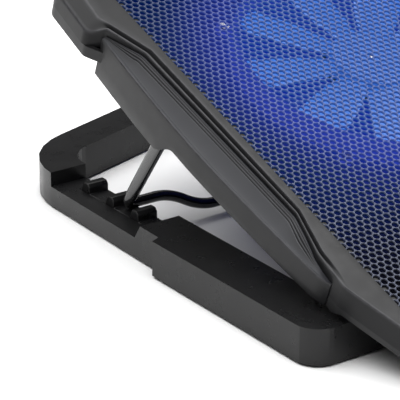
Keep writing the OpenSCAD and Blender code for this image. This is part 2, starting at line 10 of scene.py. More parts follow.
import bpy
import numpy as np
from bpy.props import FloatProperty, FloatVectorProperty, IntProperty, PointerProperty
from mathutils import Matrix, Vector

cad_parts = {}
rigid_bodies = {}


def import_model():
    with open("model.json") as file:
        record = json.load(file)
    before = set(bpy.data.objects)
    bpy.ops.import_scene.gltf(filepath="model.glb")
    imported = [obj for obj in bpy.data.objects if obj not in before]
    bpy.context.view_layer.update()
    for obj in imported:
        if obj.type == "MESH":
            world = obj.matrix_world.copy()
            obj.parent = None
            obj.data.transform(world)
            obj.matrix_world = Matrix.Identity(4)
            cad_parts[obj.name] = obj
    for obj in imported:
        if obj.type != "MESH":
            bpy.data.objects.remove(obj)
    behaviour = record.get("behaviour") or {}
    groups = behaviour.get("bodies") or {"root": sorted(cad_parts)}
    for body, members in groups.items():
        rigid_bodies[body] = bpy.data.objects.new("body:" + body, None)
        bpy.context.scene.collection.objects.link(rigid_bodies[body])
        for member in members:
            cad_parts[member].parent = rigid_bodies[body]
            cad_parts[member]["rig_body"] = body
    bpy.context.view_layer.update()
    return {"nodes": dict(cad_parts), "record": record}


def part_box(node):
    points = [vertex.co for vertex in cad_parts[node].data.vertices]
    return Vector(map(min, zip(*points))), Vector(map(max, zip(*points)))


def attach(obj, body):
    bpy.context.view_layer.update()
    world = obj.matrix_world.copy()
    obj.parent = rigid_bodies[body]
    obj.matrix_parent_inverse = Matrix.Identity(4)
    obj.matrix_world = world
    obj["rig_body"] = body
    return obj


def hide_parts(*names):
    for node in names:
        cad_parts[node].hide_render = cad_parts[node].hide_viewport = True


bl_info = {
    "name": "Laptop cooling pad",
    "version": (1, 0, 0),
    "blender": (4, 5, 0),
    "location": "3D View > Sidebar > Cooling pad",
    "description": "Builds the visible pieces of a tilting laptop cooling pad",
    "category": "Object",
}

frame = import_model()
MM = 0.001
TILT = math.radians(20)
FOLD_Y = -0.11732
FOLD_Z = 0.0195


# ---------- sizes and colours ----------


def length(name, value, description):
    """A length in metres, shown in the sidebar."""
    return FloatProperty(
        name=name, default=value, description=description, unit="LENGTH", precision=5
    )


def colour(name, value, description):
    """A linear colour, shown in the sidebar."""
    return FloatVectorProperty(
        name=name, default=value, description=description, subtype="COLOR", min=0, max=4
    )


class PadSizes(bpy.types.PropertyGroup):
    """Sizes of the visible pieces."""

    wire_radius: length("Wire radius", 0.0027, "Radius of the prop's wire")
    hole_pitch: length("Hole pitch", 0.00383, "Distance between holes in a row of the sheet")
    hole_radius: length("Hole radius", 0.00150, "Radius of a hole in the sheet")
    sheet_half_x: length("Sheet half width", 0.1789, "Half the width of the perforated sheet")
    sheet_front: length("Sheet front", -0.0272, "Front edge of the sheet along the tray")
    sheet_rear: length("Sheet rear", 0.2322, "Rear edge of the sheet along the tray")
    edge_round: length("Edge rounding", 0.0007, "Rounding of the moulded edges")
    wing_edge_h: length("Wing edge height", 0.0128, "Height of the bright edge of the wings")
    channel_depth: length("Channel depth", 0.0016, "Depth of the hollow beside the wing edge")
    blade_count: IntProperty(
        name="Blades", default=9, min=3, max=15, description="Blades on each rotor"
    )
    blade_radius: length("Blade radius", 0.067, "Radius of the blade tips")
    hub_radius: length("Hub radius", 0.021, "Radius of the rotor hub")
    fan_x: length("Fan centre", 0.0735, "Distance of each fan from the middle line")
    fan_v: length("Fan place", 0.143, "Place of the fans along the tray")
    fan_h: length("Fan height", 0.0029, "Height of the fans over the tray's underside")


class PadFinish(bpy.types.PropertyGroup):
    """Colours of the visible pieces."""

    tray_plastic: colour("Tray plastic", (0.0125, 0.0126, 0.0135), "Satin charcoal plastic")
    # Painted sheen: a lighter, bluer tone mixed in where the wings face up, standing in for light from above
    wing_top_sheen: colour("Painted wing sheen", (0.020, 0.021, 0.026), "Painted sheen where the wings face up")
    base_plastic: colour("Base plastic", (0.0100, 0.0100, 0.0105), "Plastic of the base")
    # Painted highlight: a lighter tone along the rounded edges of the bezel and the wings, where the lamp's
    # reflection falls
    edge_highlight: colour("Painted edge highlight", (0.060, 0.060, 0.064), "Painted highlight on the rounded moulded edges")
    sheet_metal: colour("Sheet", (0.010, 0.012, 0.020), "Painted steel sheet")
    # Painted highlight: a lighter tone on the punched rims of the holes, standing in for glints of light
    sheet_rim_highlight: colour("Painted rim highlight", (0.085, 0.092, 0.12), "Painted highlight on the rims of the punched holes")
    glow_core: colour("Glow near the fan", (0.016, 0.072, 0.34), "Light close to the blades")
    glow_rim: colour("Glow at the ring", (0.020, 0.045, 0.33), "Violet light at the ring")
    glow_far: colour("Glow far away", (0.002, 0.028, 0.14), "Light that spreads under the sheet")
    blade_blue: colour("Blades", (0.030, 0.108, 0.37), "Lit blue plastic of the blades")
    prop_black: colour("Prop", (0.008, 0.008, 0.009), "Gloss paint of the prop")
    floor_white: colour("Floor", (0.93, 0.93, 0.93), "Pale studio floor")


# ---------- numpy shapes ----------


def tray_points(x, v, h):
    """Points of the tray frame in the row frame.

    The tray turns about x by the tilt: y = v cos - h sin and z = v sin + h cos, from the
    fold line.
    """
    x, v, h = np.broadcast_arrays(x, v, h)
    y = FOLD_Y + v * math.cos(TILT) - h * math.sin(TILT)
    z = FOLD_Z + v * math.sin(TILT) + h * math.cos(TILT)
    return np.stack([x, y, z], axis=-1)


def smooth(a, b, t):
    """Smoothstep: 0 up to a, 1 from b on, and 3s^2 - 2s^3 between."""
    s = np.clip((np.asarray(t, float) - a) / (b - a), 0, 1)
    return s * s * (3 - 2 * s)


def rounded(corners, steps=14):
    """A closed outline with round corners, from rows of x, y and radius.

    Each corner is the circle arc that touches both of its sides.
    """
    c = np.asarray(corners, float)
    p = c[:, :2]
    u = np.roll(p, 1, 0) - p
    w = np.roll(p, -1, 0) - p
    u /= np.linalg.norm(u, axis=1)[:, None]
    w /= np.linalg.norm(w, axis=1)[:, None]
    half = np.arccos(np.clip((u * w).sum(1), -1, 1)) / 2
    mid = (u + w) / np.linalg.norm(u + w, axis=1)[:, None]
    r = c[:, 2]
    centre = p + mid * (r / np.sin(half))[:, None]
    s = p + u * (r / np.tan(half))[:, None] - centre
    e = p + w * (r / np.tan(half))[:, None] - centre
    t = np.linspace(0, 1, steps)[None, :, None]
    d = s[:, None] * (1 - t) + e[:, None] * t
    d *= r[:, None, None] / np.maximum(np.linalg.norm(d, axis=2)[..., None], 1e-12)
    return (centre[:, None] + d).reshape(-1, 2)


def mirrored(half):
    """A right half, front to rear, closed by its mirror image."""
    half = np.asarray(half, float)
    return np.concatenate([half, half[::-1] * [-1, 1, 1]])


def resample(points, step, partner):
    """Points at even steps along a closed outline, by its arc length, and on its partner."""
    closed = np.concatenate([points, points[:1]])
    other = np.concatenate([partner, partner[:1]])
    run = np.concatenate([[0], np.cumsum(np.linalg.norm(np.diff(closed, axis=0), axis=1))])
    n = int(round(run[-1] / step))
    s = np.linspace(0, run[-1], n, endpoint=False)
    return tuple(np.stack([np.interp(s, run, c[:, i]) for i in (0, 1)], axis=1) for c in (closed, other))


def inward(points):
    """Unit normals of a counter-clockwise outline that point into it.

    The tangent is the difference of the neighbours, turned left by a right angle.
    """
    t = np.roll(points, -1, 0) - np.roll(points, 1, 0)
    n = np.stack([-t[:, 1], t[:, 0]], axis=1)
    return n / np.linalg.norm(n, axis=1)[:, None]


def grid_faces(rows, columns, close_rows=False, close_columns=False):
    """Quads of a grid of rows times columns points, joined round where it closes."""
    r = np.arange(rows if close_rows else rows - 1)[:, None]
    c = np.arange(columns if close_columns else columns - 1)[None, :]
    a = r * columns + c
    b = r * columns + (c + 1) % columns
    d = ((r + 1) % rows) * columns + c
    e = ((r + 1) % rows) * columns + (c + 1) % columns
    return np.stack([a, b, e, d], axis=-1).reshape(-1, 4)


def make_mesh(name, points, quads, caps=(), smooth_faces=True, painted_highlight=None):
    """A mesh object from whole arrays of points and quads, and a few faces of any size.

    The highlight number per point is 1 where a highlight is painted along a rounded edge or a hole's rim.
    """
    mesh = bpy.data.meshes.new(name)
    if len(caps):
        faces = [list(map(int, q)) for q in quads] + [list(map(int, c)) for c in caps]
        mesh.from_pydata(points.reshape(-1, 3).tolist(), [], faces)
    else:
        quads = np.asarray(quads, np.int32)
        mesh.vertices.add(len(points.reshape(-1, 3)))
        mesh.vertices.foreach_set("co", points.reshape(-1).astype(np.float32))
        mesh.loops.add(quads.size)
        mesh.loops.foreach_set("vertex_index", quads.reshape(-1))
        mesh.polygons.add(len(quads))
        mesh.polygons.foreach_set("loop_start", np.arange(0, quads.size, quads.shape[1], dtype=np.int32))
        mesh.update(calc_edges=True)
    mesh.polygons.foreach_set("use_smooth", np.full(len(mesh.polygons), smooth_faces))
    if painted_highlight is not None:
        layer = mesh.attributes.new("painted_highlight", "FLOAT", "POINT")
        layer.data.foreach_set("value", np.ascontiguousarray(painted_highlight, np.float32).reshape(-1))
    mesh.update()
    piece = bpy.data.objects.new(name, mesh)
    bpy.context.scene.collection.objects.link(piece)
    return piece


def active(piece):
    """Makes one object the active and only selected one."""
    bpy.ops.object.select_all(action="DESELECT")
    piece.select_set(True)
    bpy.context.view_layer.objects.active = piece


def tidy(piece, angle=30, merge=1e-6):
    """Merges doubles, turns the faces outwards and shades sharp edges as sharp."""
    active(piece)
    bpy.ops.object.mode_set(mode="EDIT")
    bpy.ops.mesh.select_all(action="SELECT")
    bpy.ops.mesh.remove_doubles(threshold=merge)
    bpy.ops.mesh.normals_make_consistent(inside=False)
    bpy.ops.object.mode_set(mode="OBJECT")
    bpy.ops.object.shade_smooth_by_angle(angle=math.radians(angle))
    return piece


def soften(piece, width, segments=3, angle=30):
    """Rounds the sharp edges of a piece with a bevel."""
    bevel = piece.modifiers.new("round", "BEVEL")
    bevel.width = width
    bevel.segments = segments
    bevel.limit_method = "ANGLE"
    bevel.angle_limit = math.radians(angle)
    bevel.harden_normals = False
    return piece


# Widths of the rounded edges on small moulded parts, in metres
SMALL_EDGE = 0.0005
FINE_EDGE = 0.0003
TINY_EDGE = 0.0002


def moulded_copy(node, name, width, angle=30):
    """A merged copy of a CAD node with its flat faces joined and its edges rounded."""
    source = frame["nodes"][node]
    piece = source.copy()
    piece.data = source.data.copy()
    piece.name = name
    piece.parent = None
    for key in [k for k in piece.keys() if k.startswith("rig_")]:
        del piece[key]
    bpy.context.scene.collection.objects.link(piece)
    piece.data.materials.clear()
    tidy(piece)
    bpy.ops.object.mode_set(mode="EDIT")
    bpy.ops.mesh.select_all(action="SELECT")
    bpy.ops.mesh.dissolve_limited(angle_limit=math.radians(0.6))
    bpy.ops.object.mode_set(mode="OBJECT")
    bpy.ops.object.shade_smooth_by_angle(angle=math.radians(angle))
    if width:
        soften(piece, width, angle=angle)
    return piece


def body_of(node):
    """The CAD body that a node belongs to."""
    return frame["nodes"][node]["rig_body"]


def finish(piece, node, slot, material, *more_nodes):
    """Gives a piece its material and its body, and hides the CAD nodes it stands for. The slot is not used.
    """
    piece.data.materials.clear()
    piece.data.materials.append(material)
    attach(piece, body_of(node))
    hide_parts(node, *more_nodes)
    return piece


def paint(material, *nodes):
    """Puts a material on CAD nodes that stay as they are."""
    for node in nodes:
        data = frame["nodes"][node].data
        data.materials.clear()
        data.materials.append(material)


# ---------- material parts ----------


class Nodes:
    """Short calls for building a node tree."""

    def __init__(self, tree):
        self.tree = tree

    def add(self, kind, **inputs):
        """A node of that kind, with properties in lower case and sockets by name."""
        node = self.tree.nodes.new(kind)
        for key, value in inputs.items():
            if hasattr(node, key):
                setattr(node, key, value)
        return node

    def join(self, a, b):
        """A link from an output socket to an input socket."""
        self.tree.links.new(a, b)

    def math(self, operation, a, b=None, c=None, clamp=False):
        """A Math node, each input a number or a socket."""
        node = self.tree.nodes.new("ShaderNodeMath")
        node.operation = operation
        node.use_clamp = clamp
        for socket, value in zip(node.inputs, (a, b, c)):
            if value is None:
                continue
            if isinstance(value, (int, float)):
                socket.default_value = value
            else:
                self.join(value, socket)
        return node.outputs[0]

    def mix(self, fac, a, b, blend="MIX"):
        """A colour Mix node, each input a value, a colour or a socket."""
        node = self.tree.nodes.new("ShaderNodeMix")
        node.data_type = "RGBA"
        node.blend_type = blend
        for socket, value in ((node.inputs[0], fac), (node.inputs[6], a), (node.inputs[7], b)):
            if isinstance(value, bpy.types.NodeSocket):
                self.join(value, socket)
            elif isinstance(value, (int, float)):
                socket.default_value = value
            else:
                socket.default_value = (*tuple(value)[:3], 1)
        return node.outputs[2]

    def noise(self, vector, scale, detail=3.0, roughness=0.55):
        """A noise texture's value."""
        node = self.tree.nodes.new("ShaderNodeTexNoise")
        node.inputs["Scale"].default_value = scale
        node.inputs["Detail"].default_value = detail
        node.inputs["Roughness"].default_value = roughness
        self.join(vector, node.inputs["Vector"])
        return node.outputs[0]

    def ramp(self, value, low, high, out_low=0.0, out_high=1.0):
        """A smooth Map Range from low..high to out_low..out_high."""
        node = self.tree.nodes.new("ShaderNodeMapRange")
        node.interpolation_type = "SMOOTHSTEP"
        self.join(value, node.inputs[0])
        for i, number in enumerate((low, high, out_low, out_high)):
            node.inputs[i + 1].default_value = number
        return node.outputs[0]


def new_group(name, inputs, outputs):
    """An empty shader group with named sockets, as (group, nodes, input node, output node)."""
    group = bpy.data.node_groups.new(name, "ShaderNodeTree")
    kinds = {"f": "NodeSocketFloat", "c": "NodeSocketColor", "v": "NodeSocketVector"}
    for label, kind, value in inputs:
        socket = group.interface.new_socket(label, in_out="INPUT", socket_type=kinds[kind])
        if value is not None:
            socket.default_value = value
    for label, kind in outputs:
        group.interface.new_socket(label, in_out="OUTPUT", socket_type=kinds[kind])
    return group, Nodes(group), group.nodes.new("NodeGroupInput"), group.nodes.new("NodeGroupOutput")


def grain_group():
    """Moulded plastic: fine spark-eroded grain, slow colour drift and a thin dust."""
    found = bpy.data.node_groups.get("Moulded grain")
    if found:
        return found
    group, n, i, o = new_group(
        "Moulded grain",
        [
            ("Grain size", "f", 1600.0),
            ("Colour", "c", (0.05, 0.05, 0.05, 1)),
            ("Drift", "f", 0.18),
            ("Dust", "f", 0.05),
        ],
        [("Colour", "c"), ("Roughness shift", "f"), ("Height", "f")],
    )
    place = n.add("ShaderNodeTexCoord").outputs["Object"]
    fine = n.tree.nodes.new("ShaderNodeTexNoise")
    fine.inputs["Detail"].default_value = 2.0
    n.join(place, fine.inputs["Vector"])
    n.join(i.outputs["Grain size"], fine.inputs["Scale"])
    pits = n.tree.nodes.new("ShaderNodeTexVoronoi")
    n.join(place, pits.inputs["Vector"])
    n.join(n.math("MULTIPLY", i.outputs["Grain size"], 0.8), pits.inputs["Scale"])
    slow = n.noise(place, 22.0, 4.0)
    cloud = n.noise(place, 130.0, 3.0)
    drift = n.math("MULTIPLY", n.math("SUBTRACT", slow, 0.5), i.outputs["Drift"])
    level = n.math("ADD", 1.0, drift)
    shaded = n.tree.nodes.new("ShaderNodeVectorMath")
    shaded.operation = "SCALE"
    n.join(i.outputs["Colour"], shaded.inputs[0])
    n.join(level, shaded.inputs["Scale"])
    speck = n.math("MULTIPLY", n.ramp(cloud, 0.56, 0.75), i.outputs["Dust"])
    dusty = n.mix(speck, shaded.outputs[0], (0.32, 0.32, 0.33))
    n.join(dusty, o.inputs["Colour"])
    n.join(n.math("MULTIPLY", n.math("SUBTRACT", cloud, 0.5), 0.22), o.inputs["Roughness shift"])
    soft = n.math("MULTIPLY", fine.outputs[0], 0.7)
    height = n.math("ADD", soft, n.math("MULTIPLY", pits.outputs["Distance"], 0.5))
    n.join(height, o.inputs["Height"])
    return group


def glow_group():
    """Light from the two lit fans as it falls off over the tray.

    The distance is that to the nearer fan centre, square to the tray's normal. The colour
    goes from the core through violet at the ring to a faint far blue.
    """
    found = bpy.data.node_groups.get("Fan glow")
    if found:
        return found
    sizes = bpy.context.scene.pad_sizes
    group, n, i, o = new_group(
        "Fan glow",
        [(name, "c", (0, 0, 1, 1)) for name in ("Core", "Ring", "Far")] + [("Reach", "f", 0.13)],
        [("Light", "c"), ("Distance", "f"), ("Strength", "f")],
    )
    place = n.add("ShaderNodeTexCoord").outputs["Object"]
    split = n.tree.nodes.new("ShaderNodeSeparateXYZ")
    n.join(place, split.inputs[0])
    x, y, z = split.outputs
    across = n.math("SUBTRACT", n.math("ABSOLUTE", x), sizes.fan_x)
    along_y = n.math("MULTIPLY", n.math("SUBTRACT", y, FOLD_Y), math.cos(TILT))
    along_z = n.math("MULTIPLY", n.math("SUBTRACT", z, FOLD_Z), math.sin(TILT))
    along = n.math("SUBTRACT", n.math("ADD", along_y, along_z), sizes.fan_v)
    squares = n.math("ADD", n.math("MULTIPLY", across, across), n.math("MULTIPLY", along, along))
    distance = n.math("SQRT", squares)
    ring = n.ramp(distance, 0.058, 0.080)
    far = n.ramp(distance, 0.078, 0.112)
    light = n.mix(far, n.mix(ring, i.outputs["Core"], i.outputs["Ring"]), i.outputs["Far"])
    span = n.math("SUBTRACT", i.outputs["Reach"], 0.074)
    fade = n.math("DIVIDE", n.math("SUBTRACT", distance, 0.074), span, clamp=True)
    edge = n.ramp(n.math("ABSOLUTE", x), 0.177, 0.183, 1.0, 0.0)
    near = n.math("MULTIPLY", n.ramp(along, -0.142, -0.062, 0.02, 1.0), edge)
    strength = n.math("MULTIPLY", n.math("POWER", n.math("SUBTRACT", 1.0, fade), 1.3), near)
    n.join(light, o.inputs["Light"])
    n.join(distance, o.inputs["Distance"])
    n.join(strength, o.inputs["Strength"])
    return group


def new_material(name):
    """A node material, as (material, nodes, Principled BSDF)."""
    material = bpy.data.materials.new(name)
    material.use_nodes = True
    return material, Nodes(material.node_tree), material.node_tree.nodes["Principled BSDF"]


def place_group(n, group, **values):
    """A node group placed in a tree, with its inputs set by label (underscores for spaces)."""
    node = n.tree.nodes.new("ShaderNodeGroup")
    node.node_tree = group
    for key, value in values.items():
        socket = node.inputs[key.replace("_", " ")]
        socket.default_value = (*tuple(value)[:3], 1) if hasattr(value, "__len__") else value
    return node


def plastic(name, tone, roughness=0.5, grain=1600.0, bump=0.02, drift=0.18, dust=0.05, coat=0.0, metallic=0.0,
            gloss=0.5, highlight_tone=None):
    """Moulded plastic, paint or metal with grain, colour drift and dust.

    Where a piece's painted highlight value is 1 the tone goes to the highlight tone, broken up by a noise.
    """
    label = "pad_" + name
    found = bpy.data.materials.get(label)
    if found:
        return found
    material, n, shader = new_material(label)
    part = place_group(n, grain_group(), Grain_size=grain, Colour=tone, Drift=drift, Dust=dust)
    tint = part.outputs["Colour"]
    if highlight_tone is not None:
        # Painted highlight: the lighter tone goes where the per-point highlight values are high
        mark = n.tree.nodes.new("ShaderNodeAttribute")
        mark.attribute_name = "painted_highlight"
        place = n.tree.nodes.new("ShaderNodeTexCoord").outputs["Object"]
        patch = n.ramp(n.noise(place, 260.0), 0.25, 0.6, 0.6, 1.0)
        tint = n.mix(n.math("MULTIPLY", mark.outputs["Fac"], patch), tint, highlight_tone)
    n.join(tint, shader.inputs["Base Color"])
    shader.inputs["Specular IOR Level"].default_value = gloss
    n.join(n.math("ADD", roughness, part.outputs["Roughness shift"], clamp=True), shader.inputs["Roughness"])
    shader.inputs["Metallic"].default_value = metallic
    shader.inputs["Coat Weight"].default_value = coat
    relief = n.tree.nodes.new("ShaderNodeBump")
    relief.inputs["Strength"].default_value = 0.25
    relief.inputs["Distance"].default_value = bump * MM
    n.join(part.outputs["Height"], relief.inputs["Height"])
    n.join(relief.outputs[0], shader.inputs["Normal"])
    return material


def glowing(name, tone, roughness, core, ring, far, reach, level, metallic=0.0, gloss=0.3, highlight_tone=None):
    """A plastic or painted surface that also gives back the light of the fans."""
    found = bpy.data.materials.get("pad_" + name)
    if found:
        return found
    material = plastic(name, tone, roughness, metallic=metallic, gloss=gloss, highlight_tone=highlight_tone, dust=0.0)
    n = Nodes(material.node_tree)
    shader = material.node_tree.nodes["Principled BSDF"]
    glow = place_group(n, glow_group(), Core=core, Ring=ring, Far=far, Reach=reach)
    lit = n.tree.nodes.new("ShaderNodeVectorMath")
    lit.operation = "SCALE"
    n.join(glow.outputs["Light"], lit.inputs[0])
    n.join(n.math("MULTIPLY", glow.outputs["Strength"], level), lit.inputs["Scale"])
    n.join(lit.outputs[0], shader.inputs["Emission Color"])
    shader.inputs["Emission Strength"].default_value = 1.0
    return material


def tray_satin():
    """Satin charcoal plastic of the bezel and the stoppers, with a painted highlight along the bezel's
    rounded edges.
    """
    looks = bpy.context.scene.pad_finish
    return plastic(
        "tray_plastic", looks.tray_plastic, 0.36, drift=0.10, dust=0.004, gloss=0.16, highlight_tone=looks.edge_highlight
    )


def screw_steel():
    """Zinc-plated steel of screws, pins and shafts."""
    return plastic("screw_steel", (0.45, 0.45, 0.47), 0.28, 2400, 0.01, metallic=1.0, dust=0.0)


def board_green():
    """Lacquered circuit board."""
    return plastic("board_green", (0.01, 0.09, 0.04), 0.35, 900, 0.01, coat=0.3, dust=0.02)


# ---------- tray ----------

TRAY_CORNERS = mirrored(
    [
        [0.1800, -0.046, 0.012],
        [0.1940, 0.005, 0.014],
        [0.1915, 0.028, 0.008],
        [0.1845, 0.054, 0.012],
        [0.1865, 0.1785, 0.006],
        [0.1945, 0.2015, 0.0015],
        [0.2026, 0.2062, 0.0035],
        [0.1990, 0.245, 0.009],
    ]
)
CREASE_CORNERS = mirrored(
    [
        [0.1790, -0.0450, 0.011],
        [0.1932, 0.0045, 0.008],
        [0.1885, 0.028, 0.012],
        [0.1818, 0.055, 0.008],
        [0.1822, 0.1790, 0.003],
        [0.1906, 0.2030, 0.004],
        [0.1935, 0.2095, 0.005],
        [0.1900, 0.2365, 0.010],
    ]
)


def tray_outline(step=0.0011):
    """The tray's outer outline and the bezel's crease, at even steps of the outline.

    Both run counter-clockwise from the front right, and matching points have the same index.
    """
    return resample(rounded(TRAY_CORNERS), step, rounded(CREASE_CORNERS))


# Share of the way from the outer edge to the crease, height of the rim in mm, and painted
# highlight of the edge, outside to inside: one table for the sides with the groove, one for
# the front and one for the sloping rear
RIM_SIDE = [
    (0.0, 6.0, 0), (0.0, 9.0, 0), (0.0, 13.0, 0), (0.0, 16.2, 0), (0.03, 16.8, 0.5),
    (0.11, 17.2, 1), (0.22, 17.3, 1), (0.34, 17.1, 0.4), (0.44, 16.3, 0), (0.52, 15.8, 0),
    (0.68, 15.8, 0), (0.76, 16.3, 0), (0.84, 17.3, 0.3), (0.89, 17.8, 0.8), (0.95, 17.97, 1),
    (1.04, 18.0, 0.3),
]
RIM_FRONT = [
    (0.0, 6.0, 0), (0.0, 9.0, 0), (0.0, 13.0, 0), (0.0, 16.0, 0), (0.0, 16.8, 0.1),
    (0.08, 17.3, 0.6), (0.28, 17.7, 1), (0.6, 17.93, 1), (1.0, 18.0, 0.6), (1.2, 18.0, 0.1),
    (1.4, 18.0, 0), (1.6, 18.0, 0), (1.8, 18.0, 0), (2.0, 18.0, 0), (2.2, 18.0, 0),
    (2.4, 18.0, 0),
]
RIM_REAR = [
    (0.0, 6.0, 0), (0.0, 9.0, 0), (0.0, 12.2, 0), (0.0, 13.2, 0.2), (0.015, 13.9, 0.6),
    (0.05, 14.45, 0.8), (0.10, 14.75, 0.5), (0.20, 15.15, 0), (0.33, 15.6, 0), (0.46, 16.15, 0),
    (0.6, 16.7, 0), (0.74, 17.2, 0), (0.84, 17.6, 0.2), (0.90, 17.85, 0.7), (0.96, 17.97, 1),
    (1.03, 18.0, 0.3),
]


# The opening over the sheet: half sizes and corner radius, then its lip and the ledge under
# the sheet as steps outwards and heights, in metres
OPENING_HALF_X = 0.1775
OPENING_HALF_V = 0.1285
OPENING_CORNER = 0.004
OPENING_LIP = (
    (0.0006, 0.0180), (0.00025, 0.01795), (0.0, 0.0176), (0.0, 0.0160),
    (-0.0035, 0.0160), (-0.0035, 0.0148), (0.0030, 0.0148),
)
BEZEL_WALL = 0.0024


def rim_surface():
    """The bezel: a closed profile carried along the tray's outline.

    The profile is a blend of three tables, weighed by the place along the tray. From its
    last point it runs flat to the opening, which is the nearest point of a rounded
    rectangle, then down to the ledge under the sheet and back to the wall.
    """
    outline, crease = tray_outline()
    n_in = inward(outline)
    side = np.abs(outline[:, 0]) > 0.150
    v = outline[:, 1]
    rear = smooth(0.2008, 0.2050, v)
    front = 1 - smooth(0.006, 0.030, v) * side
    middle = np.clip(1 - rear - front, 0, 1)
    weights = np.stack([middle, front * (1 - rear), rear])
    weights /= weights.sum(0)
    profile = np.einsum("tn,tkc->nkc", weights, np.array([RIM_SIDE, RIM_FRONT, RIM_REAR]))
    xy = outline[:, None] + (crease - outline)[:, None] * profile[..., :1]
    h = profile[..., 1] * MM
    # Painted highlight along the rounded edges, from the tables' third column
    painted_highlight = profile[..., 2]
    crease = xy[:, -1]
    half = np.array([OPENING_HALF_X, OPENING_HALF_V])
    centre = np.array([0.0, SHEET_MIDDLE])
    corner = OPENING_CORNER
    local = crease - centre
    inner = np.clip(local, -(half - corner), half - corner)
    away = local - inner
    away /= np.linalg.norm(away, axis=1)[:, None]
    opening = centre + inner + away * corner
    steps = np.array([0.35, 0.7])[None, :, None]
    flat = crease[:, None] * (1 - steps) + opening[:, None] * steps
    low = 0.0126 - 0.0046 * (1 - smooth(-0.036, -0.026, v))
    wall = outline + n_in * BEZEL_WALL
    parts = [xy, flat]
    heights = [h, np.full(flat.shape[:2], 0.018)]
    for out, height in OPENING_LIP:
        parts.append((opening + away * out)[:, None])
        heights.append(np.full((len(v), 1), height))
    parts.append(((opening + wall) / 2)[:, None])
    heights.append(low[:, None] + 0.0010)
    parts.append(wall[:, None])
    heights.append(low[:, None])
    parts.append(wall[:, None])
    heights.append(np.full((len(v), 1), 0.006))
    xy = np.concatenate(parts, axis=1)
    h = np.concatenate(heights, axis=1)
    painted_highlight = np.concatenate([painted_highlight, np.zeros((len(v), h.shape[1] - painted_highlight.shape[1]))], axis=1)
    return tray_points(xy[..., 0], xy[..., 1], h), painted_highlight


def box_cutter(name, x0, x1, v0, v1, h0, h1):
    """A box in the tray frame that a Boolean takes away."""
    x, v, h = np.meshgrid([x0, x1], [v0, v1], [h0, h1], indexing="ij")
    points = tray_points(x, v, h).reshape(-1, 3)
    quads = [[0, 1, 3, 2], [4, 6, 7, 5], [0, 4, 5, 1], [2, 3, 7, 6], [0, 2, 6, 4], [1, 5, 7, 3]]
    return make_mesh(name, points, quads, smooth_faces=False)


def carve(piece, cutters):
    """Takes the cutters away from a piece, then removes them."""
    for cutter in cutters:
        cut = piece.modifiers.new("cut", "BOOLEAN")
        cut.operation = "DIFFERENCE"
        cut.object = cutter
        cut.solver = "EXACT"
        active(piece)
        bpy.ops.object.modifier_apply(modifier=cut.name)
        bpy.data.objects.remove(cutter)
    return piece


# Columns of a wing's top, in mm: from the outer edge inwards, and from the body outwards
WING_FRONT = (1.25, 1.5, 1.75, 2.0, 2.25, 2.5, 2.8, 3.2)
WING_BACK = (4.2, 3.9, 3.65, 3.4, 3.15, 2.9, 2.6, 2.3, 2.05, 1.8, 1.5, 1.2, 0.95, 0.7, 0.4, 0.0)


# The wing's outer edge, in mm along and across the tray
WING_EDGE_V = (12, 15, 18, 26, 45, 72, 95, 114, 135, 157, 180, 201)
WING_EDGE_X = (193.5, 195.3, 196.5, 197.2, 198.5, 199.9, 200.7, 201.0, 200.5, 199.5, 198.0, 196.3)
# Places of the three grooves from the tray's side, their depth and half width, the lift of
# the channel's floor and the drop of the skirt's lower edge, in metres
WING_GROOVES = (0.0012, 0.0023, 0.0034)
GROOVE_DEPTH = 0.00030
GROOVE_WIDTH = 0.00027
CHANNEL_RISE = 0.0040
SKIRT_DROP = -0.009


